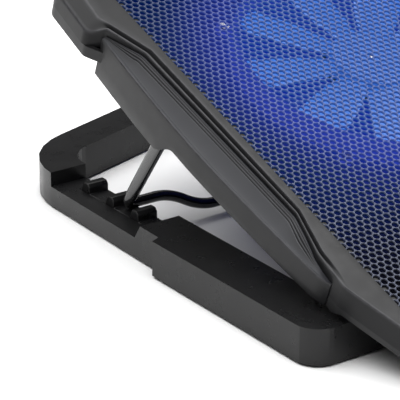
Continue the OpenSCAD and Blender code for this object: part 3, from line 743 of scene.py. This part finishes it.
def wing_surface(side):
    """A wing: a closed profile carried along the tray from its tip to its rear end.

    The outer edge is a smooth curve through measured points. With u the distance from that
    edge, the top is edge height - depth * smoothstep(u) + rise * s^1.5, with s from the
    foot of the step to the body, less three fine grooves, each a narrow Gaussian.
    """
    s = bpy.context.scene.pad_sizes
    runs = ((0.0125, 0.030, 24), (0.0312, 0.1960, 130), (0.1968, 0.2004, 6))
    v = np.concatenate([np.linspace(*run) for run in runs])
    outer = np.interp(v, np.array(WING_EDGE_V) * MM, np.array(WING_EDGE_X) * MM)
    kernel = np.hanning(9) / np.hanning(9).sum()
    outer[4:-4] = np.convolve(outer, kernel, "same")[4:-4]
    outline = tray_outline(0.0005)[0]
    right = outline[(outline[:, 0] > 0.15) & (outline[:, 1] > -0.03) & (outline[:, 1] < 0.2035)]
    right = right[np.argsort(right[:, 1])]
    inner = np.interp(v, right[:, 1], right[:, 0]) + 0.00030
    inner = np.minimum(inner, outer - 0.0009)
    width = (outer - inner)[:, None]
    k = np.clip(width / 0.010, 0.10, 1)
    front = np.array(WING_FRONT)[None] * MM * k
    back = width - np.array(WING_BACK)[None] * MM * k
    t = np.linspace(0, 1, 12)[None, 1:-1]
    u = np.concatenate([front, front[:, -1:] * (1 - t) + back[:, :1] * t, back], axis=1)
    u = np.minimum(u, width)
    fade = smooth(0.016, 0.034, v)[:, None]
    depth = s.channel_depth * fade * k
    step = smooth(0.0, 1.0, (u - 0.0010 * k) / (0.0018 * k))
    up = np.clip((u - 0.0024 * k) / np.maximum(width - 0.0034 * k, 1e-5), 0, 1)
    rise = CHANNEL_RISE * fade * k
    to_body = (width - u) / k
    lines = sum(GROOVE_DEPTH * np.exp(-(((to_body - place) / GROOVE_WIDTH) ** 2)) for place in WING_GROOVES)
    lines = lines * fade * k
    top_h = s.wing_edge_h - depth * step + rise * up**1.5 - lines
    e = outer[:, None]
    h = s.wing_edge_h
    round_x = np.concatenate([e, e - 0.00010, e - 0.00035, e - 0.00075, e - 0.0010 * k], axis=1)
    round_h = np.broadcast_to(h - np.array([[0.0013, 0.0006, 0.00018, 0.00002, 0]]), round_x.shape)
    skirt = (smooth(0.127, 0.143, v) * SKIRT_DROP)[:, None]
    low_x = np.concatenate([e - 0.0024, e - 0.0022, e - 0.0007, e - 0.0002, e, e, e], axis=1)
    wall_h = [skirt * 0.5 + 0.004, np.full_like(e, h - 0.004)]
    low_h = [skirt + 0.0004, skirt, skirt, skirt + 0.0002, skirt + 0.0008]
    low_h = np.concatenate(low_h + wall_h, axis=1)
    mid = np.maximum(e - 0.0024, inner[:, None] + 0.0003)
    under_x = np.concatenate([inner[:, None], inner[:, None] + 0.0002, mid, mid], axis=1)
    low_x[:, 0] = np.maximum(low_x[:, 0], inner + 0.0003)
    low_x[:, 1] = np.maximum(low_x[:, 1], inner + 0.0004)
    ceiling = np.full_like(e, 0.0085)
    under_h = np.concatenate([ceiling + 0.0006, ceiling, ceiling, np.maximum(skirt, 0) + 0.0030], axis=1)
    x = np.concatenate([low_x, round_x, e - u, under_x], axis=1)
    hh = np.concatenate([low_h, round_h, top_h, under_h], axis=1)
    # Painted highlight along the wing's rounded outer edge, fading towards the tip
    painted_highlight = np.concatenate(
        [
            np.zeros(low_x.shape),
            np.broadcast_to([[0.1, 0.6, 1.0, 1.0, 1.0]], round_x.shape),
            np.clip(1.6 - u / (0.0011 * k), 0, 1) * (1 - 0.4 * (1 - fade)),
            np.zeros(under_x.shape),
        ],
        axis=1,
    )
    points = tray_points(side * x, v[:, None], hh)
    quads = grid_faces(len(v), x.shape[1], close_columns=True)
    first = np.arange(x.shape[1])
    last = first + (len(v) - 1) * x.shape[1]
    return points, quads, [first[::-1], last], painted_highlight


# Faces of the perforated sheet over the tray's underside, and the cone left by the punch
SHEET_TOP = 0.0170
SHEET_LOW = 0.0160
PUNCH_WIDTH = 0.00034
PUNCH_DEPTH = 0.00042
SHEET_MIDDLE = 0.1025


def sheet_panel(name, x_range, v_range):
    """A panel of the perforated sheet: a hexagonal cell with a round hole, repeated.

    A cell is the ring between a regular hexagon and a circle, both cut at 12 angles. The
    punched edge on top is a small cone. Edges with no neighbour get a wall.
    """
    s = bpy.context.scene.pad_sizes
    pitch = s.hole_pitch
    row = pitch * math.sqrt(3) / 2
    rows = np.arange(math.floor((s.sheet_rear - s.sheet_front) / row))
    start_v = s.sheet_front + row / 2 + ((s.sheet_rear - s.sheet_front) - len(rows) * row) / 2
    count = math.floor(s.sheet_half_x / pitch)
    i, j = np.meshgrid(np.arange(-count, count + 1), rows, indexing="ij")
    x = (i + 0.5 * (j % 2) - 0.25) * pitch
    v = start_v + j * row
    keep = (x >= x_range[0]) & (x < x_range[1]) & (v >= v_range[0]) & (v < v_range[1])
    centres = np.stack([x[keep], v[keep]], axis=1)
    angle = np.arange(12) * math.pi / 6
    hexagon = np.where(np.arange(12) % 2 == 0, pitch / 2, pitch / math.sqrt(3))
    top, low = SHEET_TOP, SHEET_LOW
    rings = [
        (hexagon, top),
        (np.full(12, s.hole_radius + PUNCH_WIDTH), top),
        (np.full(12, s.hole_radius), top - PUNCH_DEPTH),
        (np.full(12, s.hole_radius), low),
        (hexagon, low),
    ]
    flat = np.stack([np.cos(angle), np.sin(angle)], axis=1)
    cell = np.stack([np.concatenate([flat * r[:, None], np.full((12, 1), h)], axis=1) for r, h in rings])
    flat_points = centres[:, None, None, :] + cell[None, :, :, :2]
    heights = np.broadcast_to(cell[None, :, :, 2:], (len(centres), 5, 12, 1))
    points = np.concatenate([flat_points, heights], axis=3).reshape(-1, 3)
    ring, k = np.meshgrid(np.arange(4), np.arange(12), indexing="ij")
    a = (ring * 12 + k).ravel()
    b = (ring * 12 + (k + 1) % 12).ravel()
    quads = np.stack([a, b, b + 12, a + 12], axis=1)
    quads = (np.arange(len(centres))[:, None, None] * 60 + quads[None]).reshape(-1, 4)
    # Painted highlight on the punched cone round each hole, ring by ring from the hexagon down
    painted_highlight = np.tile(np.repeat([0.1, 1.0, 0.8, 0.0, 0.0], 12), len(centres))
    keys = np.round(points / 2e-6).astype(np.int64)
    first, index = np.unique(keys, axis=0, return_index=True, return_inverse=True)[1:]
    points, painted_highlight = points[first], painted_highlight[first]
    quads = index.reshape(-1)[quads]
    cells = index.reshape(-1).reshape(len(centres), 5, 12)
    one, two = cells[:, 0], np.roll(cells[:, 0], -1, 1)
    three, four = np.roll(cells[:, 4], -1, 1), cells[:, 4]
    edges = np.stack([one, two, three, four], axis=-1).reshape(-1, 4)
    code = edges[:, 0] * len(points) + edges[:, 1]
    back = edges[:, 1] * len(points) + edges[:, 0]
    border = edges[~np.isin(code, back)]
    quads = np.concatenate([quads, border[:, ::-1]])
    world = tray_points(points[:, 0], points[:, 1], points[:, 2])
    return make_mesh(name, world, quads[:, ::-1], smooth_faces=False, painted_highlight=painted_highlight)


# Lowest and highest x, place along the tray and height of the two socket openings, the
# switch's pocket and the two stoppers' pockets
BEZEL_POCKETS = {
    "cut_a": (-0.0262, -0.0110, 0.2405, 0.2470, 0.005, 0.0133),
    "cut_b": (-0.0042, 0.0110, 0.2405, 0.2470, 0.005, 0.0133),
    "cut_c": (0.0212, 0.0378, 0.2375, 0.2470, 0.0042, 0.0163),
    "cut_d": (-0.1184, -0.0716, -0.0470, -0.0335, 0.0136, 0.020),
    "cut_e": (0.0716, 0.1184, -0.0470, -0.0335, 0.0136, 0.020),
}


class PAD_OT_tray(bpy.types.Operator):
    """Make the bezel, the bottom shell and the two wings of the tray"""

    bl_idname = "coolpad.tray"
    bl_label = "Tray and wings"

    def execute(self, context):
        looks = context.scene.pad_finish
        points, painted_highlight = rim_surface()
        quads = grid_faces(points.shape[0], points.shape[1], True, True)
        bezel = make_mesh("tray_bezel", points, quads[:, ::-1], painted_highlight=painted_highlight)
        cutters = [box_cutter(name, *box) for name, box in BEZEL_POCKETS.items()]
        tidy(bezel)
        carve(bezel, cutters)
        tidy(bezel, 32)
        finish(bezel, "tray_top_frame", "tray_plastic", tray_satin())
        shell = moulded_copy("tray_bottom_shell", "bottom_shell", FINE_EDGE)
        inside = glowing(
            "shell_plastic", (0.002, 0.002, 0.004), 0.8,
            (0.006, 0.028, 0.33), (0.008, 0.018, 0.20), (0.001, 0.010, 0.11), 0.230, 1.0,
            gloss=0.05,
        )
        outside = plastic("shell_outside", looks.tray_plastic, 0.40, drift=0.10, dust=0.004, gloss=0.3)
        finish(shell, "tray_bottom_shell", "shell_plastic", outside)
        shell.data.materials.append(inside)
        normals = np.zeros(len(shell.data.polygons) * 3)
        centres = np.zeros(len(shell.data.polygons) * 3)
        shell.data.polygons.foreach_get("normal", normals)
        shell.data.polygons.foreach_get("center", centres)
        normals, centres = normals.reshape(-1, 3), centres.reshape(-1, 3)
        up = -math.sin(TILT) * normals[:, 1] + math.cos(TILT) * normals[:, 2]
        height = -math.sin(TILT) * (centres[:, 1] - FOLD_Y) + math.cos(TILT) * (centres[:, 2] - FOLD_Z)
        inner = (up > 0.7) & (height > 0.001) & (height < 0.0055)
        shell.data.polygons.foreach_set("material_index", inner.astype(np.int32))
        # The wings' plastic, with a painted sheen where they face up and a painted highlight along the outer
        # edge
        channel = wing_material()
        for name, side in (("left", -1), ("right", 1)):
            points, quads, caps, painted_highlight = wing_surface(side)
            wing = make_mesh(f"side_wing_{name}", points, quads, caps, painted_highlight=painted_highlight)
            tidy(wing, 38)
            finish(wing, f"wing_{name}", "tray_plastic", channel)
        return {"FINISHED"}


def wing_material():
    """Satin plastic painted lighter and a little bluer where it looks up: a painted sheen of the light from
    above.
    """
    looks = bpy.context.scene.pad_finish
    material = plastic(
        "wing_plastic", looks.tray_plastic, 0.36, drift=0.12, dust=0.004, gloss=0.2, highlight_tone=looks.edge_highlight
    )
    n = Nodes(material.node_tree)
    shader = material.node_tree.nodes["Principled BSDF"]
    tone = shader.inputs["Base Color"].links[0].from_socket
    geometry = n.tree.nodes.new("ShaderNodeNewGeometry")
    dot = n.tree.nodes.new("ShaderNodeVectorMath")
    dot.operation = "DOT_PRODUCT"
    n.join(geometry.outputs["Normal"], dot.inputs[0])
    dot.inputs[1].default_value = (0, -math.sin(TILT), math.cos(TILT))
    # Painted sheen: faces turned up to the tray's normal get the lighter, bluer tone
    up = n.ramp(dot.outputs["Value"], 0.75, 0.97)
    n.join(n.mix(n.math("MULTIPLY", up, 0.75), tone, looks.wing_top_sheen), shader.inputs["Base Color"])
    return material


class PAD_OT_sheet(bpy.types.Operator):
    """Make the perforated sheet that the laptop rests on, in four panels"""

    bl_idname = "coolpad.sheet"
    bl_label = "Perforated sheet"

    def execute(self, context):
        looks = context.scene.pad_finish
        # The hole rims get a painted highlight, a lighter tone on the punched cones
        metal = glowing(
            "sheet_metal", looks.sheet_metal, 0.34,
            looks.glow_core, looks.glow_rim, looks.glow_far, 0.210, 0.8,
            metallic=0.85, gloss=0.1, highlight_tone=looks.sheet_rim_highlight,
        )
        middle = SHEET_MIDDLE
        panels = {
            "front_left": ((-1, 0), (-1, middle)),
            "front_right": ((0, 1), (-1, middle)),
            "rear_left": ((-1, 0), (middle, 1)),
            "rear_right": ((0, 1), (middle, 1)),
        }
        for name, (x_range, v_range) in panels.items():
            panel = sheet_panel(f"sheet_{name}", x_range, v_range)
            finish(panel, "mesh_grille", "mesh_metal", metal)
        return {"FINISHED"}


# ---------- fans ----------


def fan_points(side, radius, angle, z):
    """Points in the frame of one fan: radius, angle and height, turned into the tray frame."""
    s = bpy.context.scene.pad_sizes
    return tray_points(side * s.fan_x + radius * np.cos(angle), s.fan_v + radius * np.sin(angle), s.fan_h + z)


def filter_arrays(side):
    """A thin ring of filter foam that lies over the air slots.

    Its section is a flat strip, out over the top and back underneath, with a ripple of
    sin(24 angle) * sin(5 pi share), where share is 0 at the inner and 1 at the outer edge.
    """
    turns, columns = 192, 14
    inner, outer = 0.0235, 0.0625
    angle = np.linspace(0, 2 * math.pi, turns, endpoint=False)[:, None]
    share = np.linspace(0, 1, columns)
    share = np.concatenate([share, share[::-1]])
    radius = inner + share * (outer - inner)
    top = np.repeat([-0.00008, -0.00042], columns)
    ripple = 0.00003 * np.sin(24 * angle) * np.sin(5 * math.pi * share)[None]
    points = fan_points(side, radius[None, :], angle, top[None, :] + ripple)
    return points.reshape(-1, 3), grid_faces(turns, 2 * columns, close_rows=True, close_columns=True)


def rotor_arrays(side):
    """The hub and blades of a rotor.

    The hub is a profile turned about the shaft. A blade is r from the hub to the tip, angle
    = centre + half width(r) * a, and height = middle + pitch * a + thickness * b, with a and
    b from -1 to 1.
    """
    s = bpy.context.scene.pad_sizes
    hub = s.hub_radius
    rim = hub * 1e3
    profile = np.array(
        [
            [0.0018, 10.4], [rim - 2.6, 10.6], [rim - 0.9, 10.5], [rim - 0.25, 10.2],
            [rim, 9.5], [rim, 3.4], [rim - 0.2, 3.2], [rim - 1.8, 3.2],
            [rim - 2.0, 3.4], [rim - 2.0, 8.9], [0.0018, 9.0],
        ]
    ) * MM
    turn = np.linspace(0, 2 * math.pi, 64, endpoint=False)[:, None]
    points = [fan_points(side, profile[None, :, 0], turn, profile[None, :, 1]).reshape(-1, 3)]
    quads = [grid_faces(64, len(profile), close_rows=True, close_columns=True)]
    total = 64 * len(profile)
    rows, columns = 22, 26
    u = np.linspace(0, 1, rows)[:, None]
    ring = np.array([[a, 1] for a in np.linspace(-1, 1, 13)] + [[a, -1] for a in np.linspace(1, -1, 13)])
    radius = hub - 0.0010 + u * (s.blade_radius - hub + 0.0010)
    pitch = 2 * math.pi / s.blade_count
    half = pitch * (0.475 - 0.145 * smooth(0, 1, u) - 0.02 * u)
    for k in range(s.blade_count):
        centre = math.radians(10) + k * pitch
        a, b = ring[None, :, 0], ring[None, :, 1]
        edge = np.sqrt(np.clip(1 - np.abs(a) ** 8, 0, 1))
        tip = 1 - 0.06 * smooth(0.9, 1, u) * a * a
        angle = centre + half * a
        z = 0.0072 + 0.0026 * a * (0.6 + 0.4 * u) + 0.0007 * b * (0.35 + 0.65 * edge)
        blade = fan_points(side, radius * tip, angle, z)
        points.append(blade.reshape(-1, 3))
        quads.append(grid_faces(rows, columns, close_columns=True) + total)
        for start in (0, (rows - 1) * columns):
            c = np.arange(12)
            cap = np.stack([start + c, start + c + 1, start + 24 - c, start + 25 - c], axis=1)
            quads.append(cap + total)
        total += rows * columns
    return np.concatenate(points), np.concatenate(quads)


class PAD_OT_fans(bpy.types.Operator):
    """Make the lit rotors and finish the fan frames, motors and wiring"""

    bl_idname = "coolpad.fans"
    bl_label = "Fans"

    def execute(self, context):
        blade = blade_material()
        ring = glowing(
            "fan_plastic", (0.002, 0.003, 0.006), 0.6,
            (0.006, 0.028, 0.30), (0.03, 0.05, 0.42), (0.004, 0.02, 0.25), 0.120, 1.0,
            gloss=0.1,
        )
        for name, side in (("left", -1), ("right", 1)):
            points, quads = rotor_arrays(side)
            rotor = make_mesh(f"rotor_{name}", points, quads)
            tidy(rotor, 40)
            finish(rotor, f"fan_rotor_{name}", "blade_plastic", blade)
            house = moulded_copy(f"fan_frame_{name}", f"fan_housing_{name}", FINE_EDGE)
            finish(house, f"fan_frame_{name}", "fan_plastic", ring)
        foam = glowing(
            "filter_foam", (0.003, 0.003, 0.006), 0.9,
            (0.005, 0.024, 0.30), (0.008, 0.022, 0.28), (0.001, 0.01, 0.2), 0.120, 1.0,
            gloss=0.02,
        )
        for name, side in (("left", -1), ("right", 1)):
            points, quads = filter_arrays(side)
            pad = make_mesh(f"intake_filter_{name}", points, quads)
            tidy(pad, 40)
            pad.data.materials.append(foam)
            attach(pad, "tray")
        copper = plastic("copper_lacquer", (0.45, 0.19, 0.07), 0.3, 2600, 0.03, metallic=1.0, dust=0.0)
        bronze = plastic("sintered_bronze", (0.4, 0.28, 0.12), 0.45, 3000, 0.03, metallic=1.0, dust=0.0)
        lead = plastic("lead_pvc", (0.015, 0.015, 0.016), 0.5, 1200, 0.02)
        paint(copper, "fan_stator_left", "fan_stator_right")
        paint(bronze, "fan_bearing_left", "fan_bearing_right")
        paint(board_green(), "fan_led_board_left", "fan_led_board_right")
        paint(screw_steel(), "fan_shaft_left", "fan_shaft_right", "fan_screws")
        paint(lead, "fan_leads")
        return {"FINISHED"}


def blade_material():
    """Frosted blue plastic lit from its root, a little paler towards the tips."""
    looks = bpy.context.scene.pad_finish
    material = plastic("blade_plastic", looks.blade_blue, 0.35, dust=0.0)
    n = Nodes(material.node_tree)
    shader = material.node_tree.nodes["Principled BSDF"]
    blue = looks.blade_blue
    glow = place_group(n, glow_group(), Core=blue, Ring=blue, Far=blue, Reach=0.2)
    level = n.ramp(glow.outputs["Distance"], 0.012, 0.066, 0.85, 1.05)
    lit = n.tree.nodes.new("ShaderNodeVectorMath")
    lit.operation = "SCALE"
    n.join(glow.outputs["Light"], lit.inputs[0])
    n.join(level, lit.inputs["Scale"])
    n.join(lit.outputs[0], shader.inputs["Emission Color"])
    shader.inputs["Emission Strength"].default_value = 1.0
    return material


# ---------- base, prop, stoppers, electrics ----------


class PAD_OT_base(bpy.types.Operator):
    """Finish the base, its notch racks, feet and hinge pins"""

    bl_idname = "coolpad.base"
    bl_label = "Base"

    def execute(self, context):
        looks = context.scene.pad_finish
        black = plastic("base_plastic", looks.base_plastic, 0.30, drift=0.12, dust=0.004, gloss=0.28)
        body = moulded_copy("base_frame", "base_ring", context.scene.pad_sizes.edge_round)
        finish(body, "base_frame", "base_plastic", black)
        for name in ("left", "right"):
            rack = moulded_copy(f"notch_rack_{name}", f"rack_{name}", SMALL_EDGE)
            finish(rack, f"notch_rack_{name}", "base_plastic", black)
        rubber = plastic("foot_rubber", (0.012, 0.012, 0.012), 0.75, 900, 0.05, dust=0.12)
        feet = moulded_copy("base_feet", "rubber_feet", FINE_EDGE)
        finish(feet, "base_feet", "rubber", rubber)
        paint(screw_steel(), "hinge_pins")
        return {"FINISHED"}


def bent_path(corners, cuts, step):
    """Straight runs joined by parabolic bends, as evenly spaced points.

    A bend runs from cut before its corner P to cut after it: (1-s)^2 a + 2s(1-s) P + s^2 b.
    """
    s = np.linspace(0, 1, 17)[:, None]
    runs = [corners[:1]]
    for before, corner, after, cut in zip(corners, corners[1:], corners[2:], cuts):
        a = corner + (before - corner) / np.linalg.norm(before - corner) * cut
        b = corner + (after - corner) / np.linalg.norm(after - corner) * cut
        runs.append((1 - s) ** 2 * a + 2 * s * (1 - s) * corner + s**2 * b)
    path = np.concatenate([*runs, corners[-1:]])
    run = np.concatenate([[0], np.cumsum(np.linalg.norm(np.diff(path, axis=0), axis=1))])
    at = np.linspace(0, run[-1], int(run[-1] / step))
    return np.stack([np.interp(at, run, path[:, i]) for i in range(3)], axis=1)


# The prop's wire, in metres: its turned-in ends, the bar between the feet, which drops and
# runs back from its ends, and how far each bend is cut from its corner
PIVOT_INSET = 0.0035
PIVOT_LENGTH = 0.0188
ARM_INSET = 0.0015
BAR_END_X = 0.164
BAR_LOW_X = 0.149
BAR_DROP = 0.008
BAR_BACK = 0.007
BEND_CUTS = [0.0035, 0.0035, 0.0085, 0.0085]


def bail_surface():
    """The prop: a round wire carried along its bends and pressed flat on the two arms.

    A ring is centre + cos(t) N a + sin(t) B b, with N square to the plane of the arms, B
    square to N and the path, and a and b the half widths at that height.
    """
    s = bpy.context.scene.pad_sizes
    low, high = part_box("prop_bail")
    r = s.wire_radius
    knee = r + 0.00015
    pivot = np.array([low[1] + PIVOT_INSET, high[2] - PIVOT_INSET])
    foot_y, low_z = high[1] - knee, low[2] + knee
    foot = np.array([foot_y, low_z + BAR_DROP])
    dip = np.array([foot_y - BAR_BACK, low_z])
    arm_x = high[0] - ARM_INSET
    side = [(arm_x - PIVOT_LENGTH, *pivot), (arm_x, *pivot), (arm_x, *foot)]
    side += [(BAR_END_X, *foot), (BAR_LOW_X, *dip)]
    corners = np.array(side + [(-x, y, z) for x, y, z in side[::-1]])
    path = bent_path(corners, BEND_CUTS + BEND_CUTS[::-1], 0.0008)
    along = np.gradient(path, axis=0)
    along /= np.linalg.norm(along, axis=1, keepdims=True)
    flat = np.array([0.0, *(foot - pivot)])
    flat = np.cross([1.0, 0, 0], flat / np.linalg.norm(flat))
    normal = flat - (along @ flat)[:, None] * along
    normal /= np.linalg.norm(normal, axis=1, keepdims=True)
    sideways = np.cross(along, normal)
    z = path[:, 2]
    share = np.clip((z - foot[1]) / (pivot[1] - foot[1]), 0, 1)
    arm = smooth(0.03, 0.16, share) * (1 - smooth(0.86, 0.97, share))
    ends = np.minimum(np.arange(len(path)), np.arange(len(path))[::-1])
    end = np.interp(ends, [0, 1, 2], [0.7, 0.95, 1.0])
    a = (r + (0.00045 + 0.00055 * share) * arm) * end
    b = (r - 0.0008 * arm) * end
    around = 28
    t = np.linspace(0, 2 * math.pi, around, endpoint=False)
    power = 1 - 0.45 * arm[:, None]
    c, d = np.cos(t)[None], np.sin(t)[None]
    ring_a = (a[:, None] * np.sign(c) * np.abs(c) ** power)[..., None]
    ring_b = (b[:, None] * np.sign(d) * np.abs(d) ** power)[..., None]
    points = path[:, None] + normal[:, None] * ring_a + sideways[:, None] * ring_b
    first = np.arange(around)
    caps = [first[::-1], first + (len(path) - 1) * around]
    return points.reshape(-1, 3), grid_faces(len(path), around, close_columns=True), caps


class PAD_OT_prop(bpy.types.Operator):
    """Finish the prop that holds the tray up, its clamps and their screws"""

    bl_idname = "coolpad.prop"
    bl_label = "Prop"

    def execute(self, context):
        looks = context.scene.pad_finish
        gloss = plastic("prop_paint", looks.prop_black, 0.22, 700, 0.03, coat=0.4, dust=0.02)
        bail = make_mesh("prop_wire", *bail_surface())
        tidy(bail, 40)
        finish(bail, "prop_bail", "prop_paint", gloss)
        dark = plastic("clamp_plastic", looks.base_plastic, 0.5)
        clamps = moulded_copy("prop_clamps", "wire_clamps", FINE_EDGE)
        finish(clamps, "prop_clamps", "shell_plastic", dark)
        paint(screw_steel(), "clamp_screws", "tray_screws")
        return {"FINISHED"}


class PAD_OT_stoppers(bpy.types.Operator):
    """Finish the flip-up stoppers in the front bezel"""

    bl_idname = "coolpad.stoppers"
    bl_label = "Stoppers"

    def execute(self, context):
        for name in ("left", "right"):
            flap = moulded_copy(f"stopper_{name}", f"flip_stopper_{name}", SMALL_EDGE)
            finish(flap, f"stopper_{name}", "tray_plastic", tray_satin())
        paint(screw_steel(), "stopper_pins")
        return {"FINISHED"}


class PAD_OT_electrics(bpy.types.Operator):
    """Finish the socket board, the sockets and the switch at the rear"""

    bl_idname = "coolpad.electrics"
    bl_label = "Sockets and switch"

    def execute(self, context):
        nickel = plastic("socket_nickel", (0.55, 0.54, 0.52), 0.22, 1800, 0.01, metallic=1.0, dust=0.02)
        dark = plastic("switch_plastic", (0.01, 0.01, 0.011), 0.4)
        paint(board_green(), "usb_board")
        for node, name, slot, material in (
            ("usb_sockets", "socket_shells", "socket_steel", nickel),
            ("switch_housing", "switch_body", body_slot("switch_housing"), dark),
            ("switch_rocker", "switch_key", body_slot("switch_rocker"), dark),
        ):
            piece = moulded_copy(node, name, TINY_EDGE)
            finish(piece, node, slot, material)
        return {"FINISHED"}


def body_slot(node):
    """The material slot that the record gives a node."""
    return next(p["material_slot"] for p in frame["record"]["subparts"] if p["node"] == node)


# ---------- stage ----------


def area_light(name, place, target, size, power):
    """A soft rectangular light that looks at a point."""
    light = bpy.data.lights.new(name, "AREA")
    light.shape = "RECTANGLE"
    light.size, light.size_y = size
    light.energy = power
    lamp = bpy.data.objects.new(name, light)
    lamp.location = place
    lamp.rotation_euler = (Vector(target) - Vector(place)).to_track_quat("-Z", "Y").to_euler()
    bpy.context.scene.collection.objects.link(lamp)


# Place of the camera, the point that it looks at, its lens in mm, and the one lamp
EYE = (-0.8578, -0.9450, 0.5236)
LOOK_AT = (-0.2330, -0.0658, 0.0702)
LENS = 239.85
LAMP_PLACE = (0.62, 0.22, 1.25)
LAMP_AIM = (-0.15, -0.08, 0.05)
LAMP_SIZE = (0.55, 0.55)
LAMP_WATTS = 3.6
# The surroundings brighten while the upward part (Z) of the direction rises between these two
SKY_HEIGHTS = (0.48, 0.92)
SKY_STRENGTHS = (0.05, 3.3)


class PAD_OT_stage(bpy.types.Operator):
    """Make the floor, the soft light, the pale surroundings and the camera"""

    bl_idname = "coolpad.stage"
    bl_label = "Stage"

    def execute(self, context):
        looks = context.scene.pad_finish
        corner = np.array([[-6, -6, 0], [6, -6, 0], [6, 6, 0], [-6, 6, 0]], float)
        floor = make_mesh("studio_floor", corner, np.array([[0, 1, 2, 3]]))
        paper = plastic("floor_paper", looks.floor_white, 0.9, 60, 0.1, drift=0.0, dust=0.0)
        floor.data.materials.append(paper)
        world = bpy.data.worlds.new("studio")
        context.scene.world = world
        world.use_nodes = True
        background = world.node_tree.nodes["Background"]
        background.inputs["Color"].default_value = (1, 1, 1, 1)
        n = Nodes(world.node_tree)
        split = n.tree.nodes.new("ShaderNodeSeparateXYZ")
        n.join(n.tree.nodes.new("ShaderNodeTexCoord").outputs["Generated"], split.inputs[0])
        n.join(n.ramp(split.outputs["Z"], *SKY_HEIGHTS, *SKY_STRENGTHS), background.inputs["Strength"])
        area_light("top_soft", LAMP_PLACE, LAMP_AIM, LAMP_SIZE, LAMP_WATTS)
        context.scene.view_settings.view_transform = "Standard"
        camera = bpy.data.cameras.new("view")
        camera.lens = LENS
        camera.sensor_width = 36
        camera.clip_end = 50
        eye = bpy.data.objects.new("view", camera)
        eye.location = EYE
        aim = Vector(LOOK_AT) - eye.location
        eye.rotation_euler = aim.to_track_quat("-Z", "Y").to_euler()
        context.scene.collection.objects.link(eye)
        context.scene.camera = eye
        return {"FINISHED"}


# ---------- panel and running ----------


class PAD_PT_panel(bpy.types.Panel):
    """Lists the pieces, sizes and colours of the cooling pad"""

    bl_idname = "PAD_PT_panel"
    bl_label = "Cooling pad"
    bl_space_type = "VIEW_3D"
    bl_region_type = "UI"
    bl_category = "Cooling pad"

    def draw(self, context):
        layout = self.layout
        for operator in OPERATORS:
            layout.operator(operator.bl_idname)
        for group in (context.scene.pad_sizes, context.scene.pad_finish):
            box = layout.box()
            for key in group.__annotations__:
                box.prop(group, key)


OPERATORS = (
    PAD_OT_base,
    PAD_OT_tray,
    PAD_OT_sheet,
    PAD_OT_fans,
    PAD_OT_prop,
    PAD_OT_stoppers,
    PAD_OT_electrics,
    PAD_OT_stage,
)
CLASSES = (PadSizes, PadFinish, *OPERATORS, PAD_PT_panel)


def register():
    """Registers the classes and hangs the settings on the scene."""
    for cls in CLASSES:
        bpy.utils.register_class(cls)
    bpy.types.Scene.pad_sizes = PointerProperty(type=PadSizes)
    bpy.types.Scene.pad_finish = PointerProperty(type=PadFinish)


def unregister():
    """Takes the settings and the classes away again."""
    del bpy.types.Scene.pad_finish
    del bpy.types.Scene.pad_sizes
    for cls in reversed(CLASSES):
        bpy.utils.unregister_class(cls)


def main():
    register()
    bpy.ops.coolpad.base()
    bpy.ops.coolpad.tray()
    bpy.ops.coolpad.sheet()
    bpy.ops.coolpad.fans()
    bpy.ops.coolpad.prop()
    bpy.ops.coolpad.stoppers()
    bpy.ops.coolpad.electrics()
    bpy.ops.coolpad.stage()


if __name__ == "__main__":
    main()
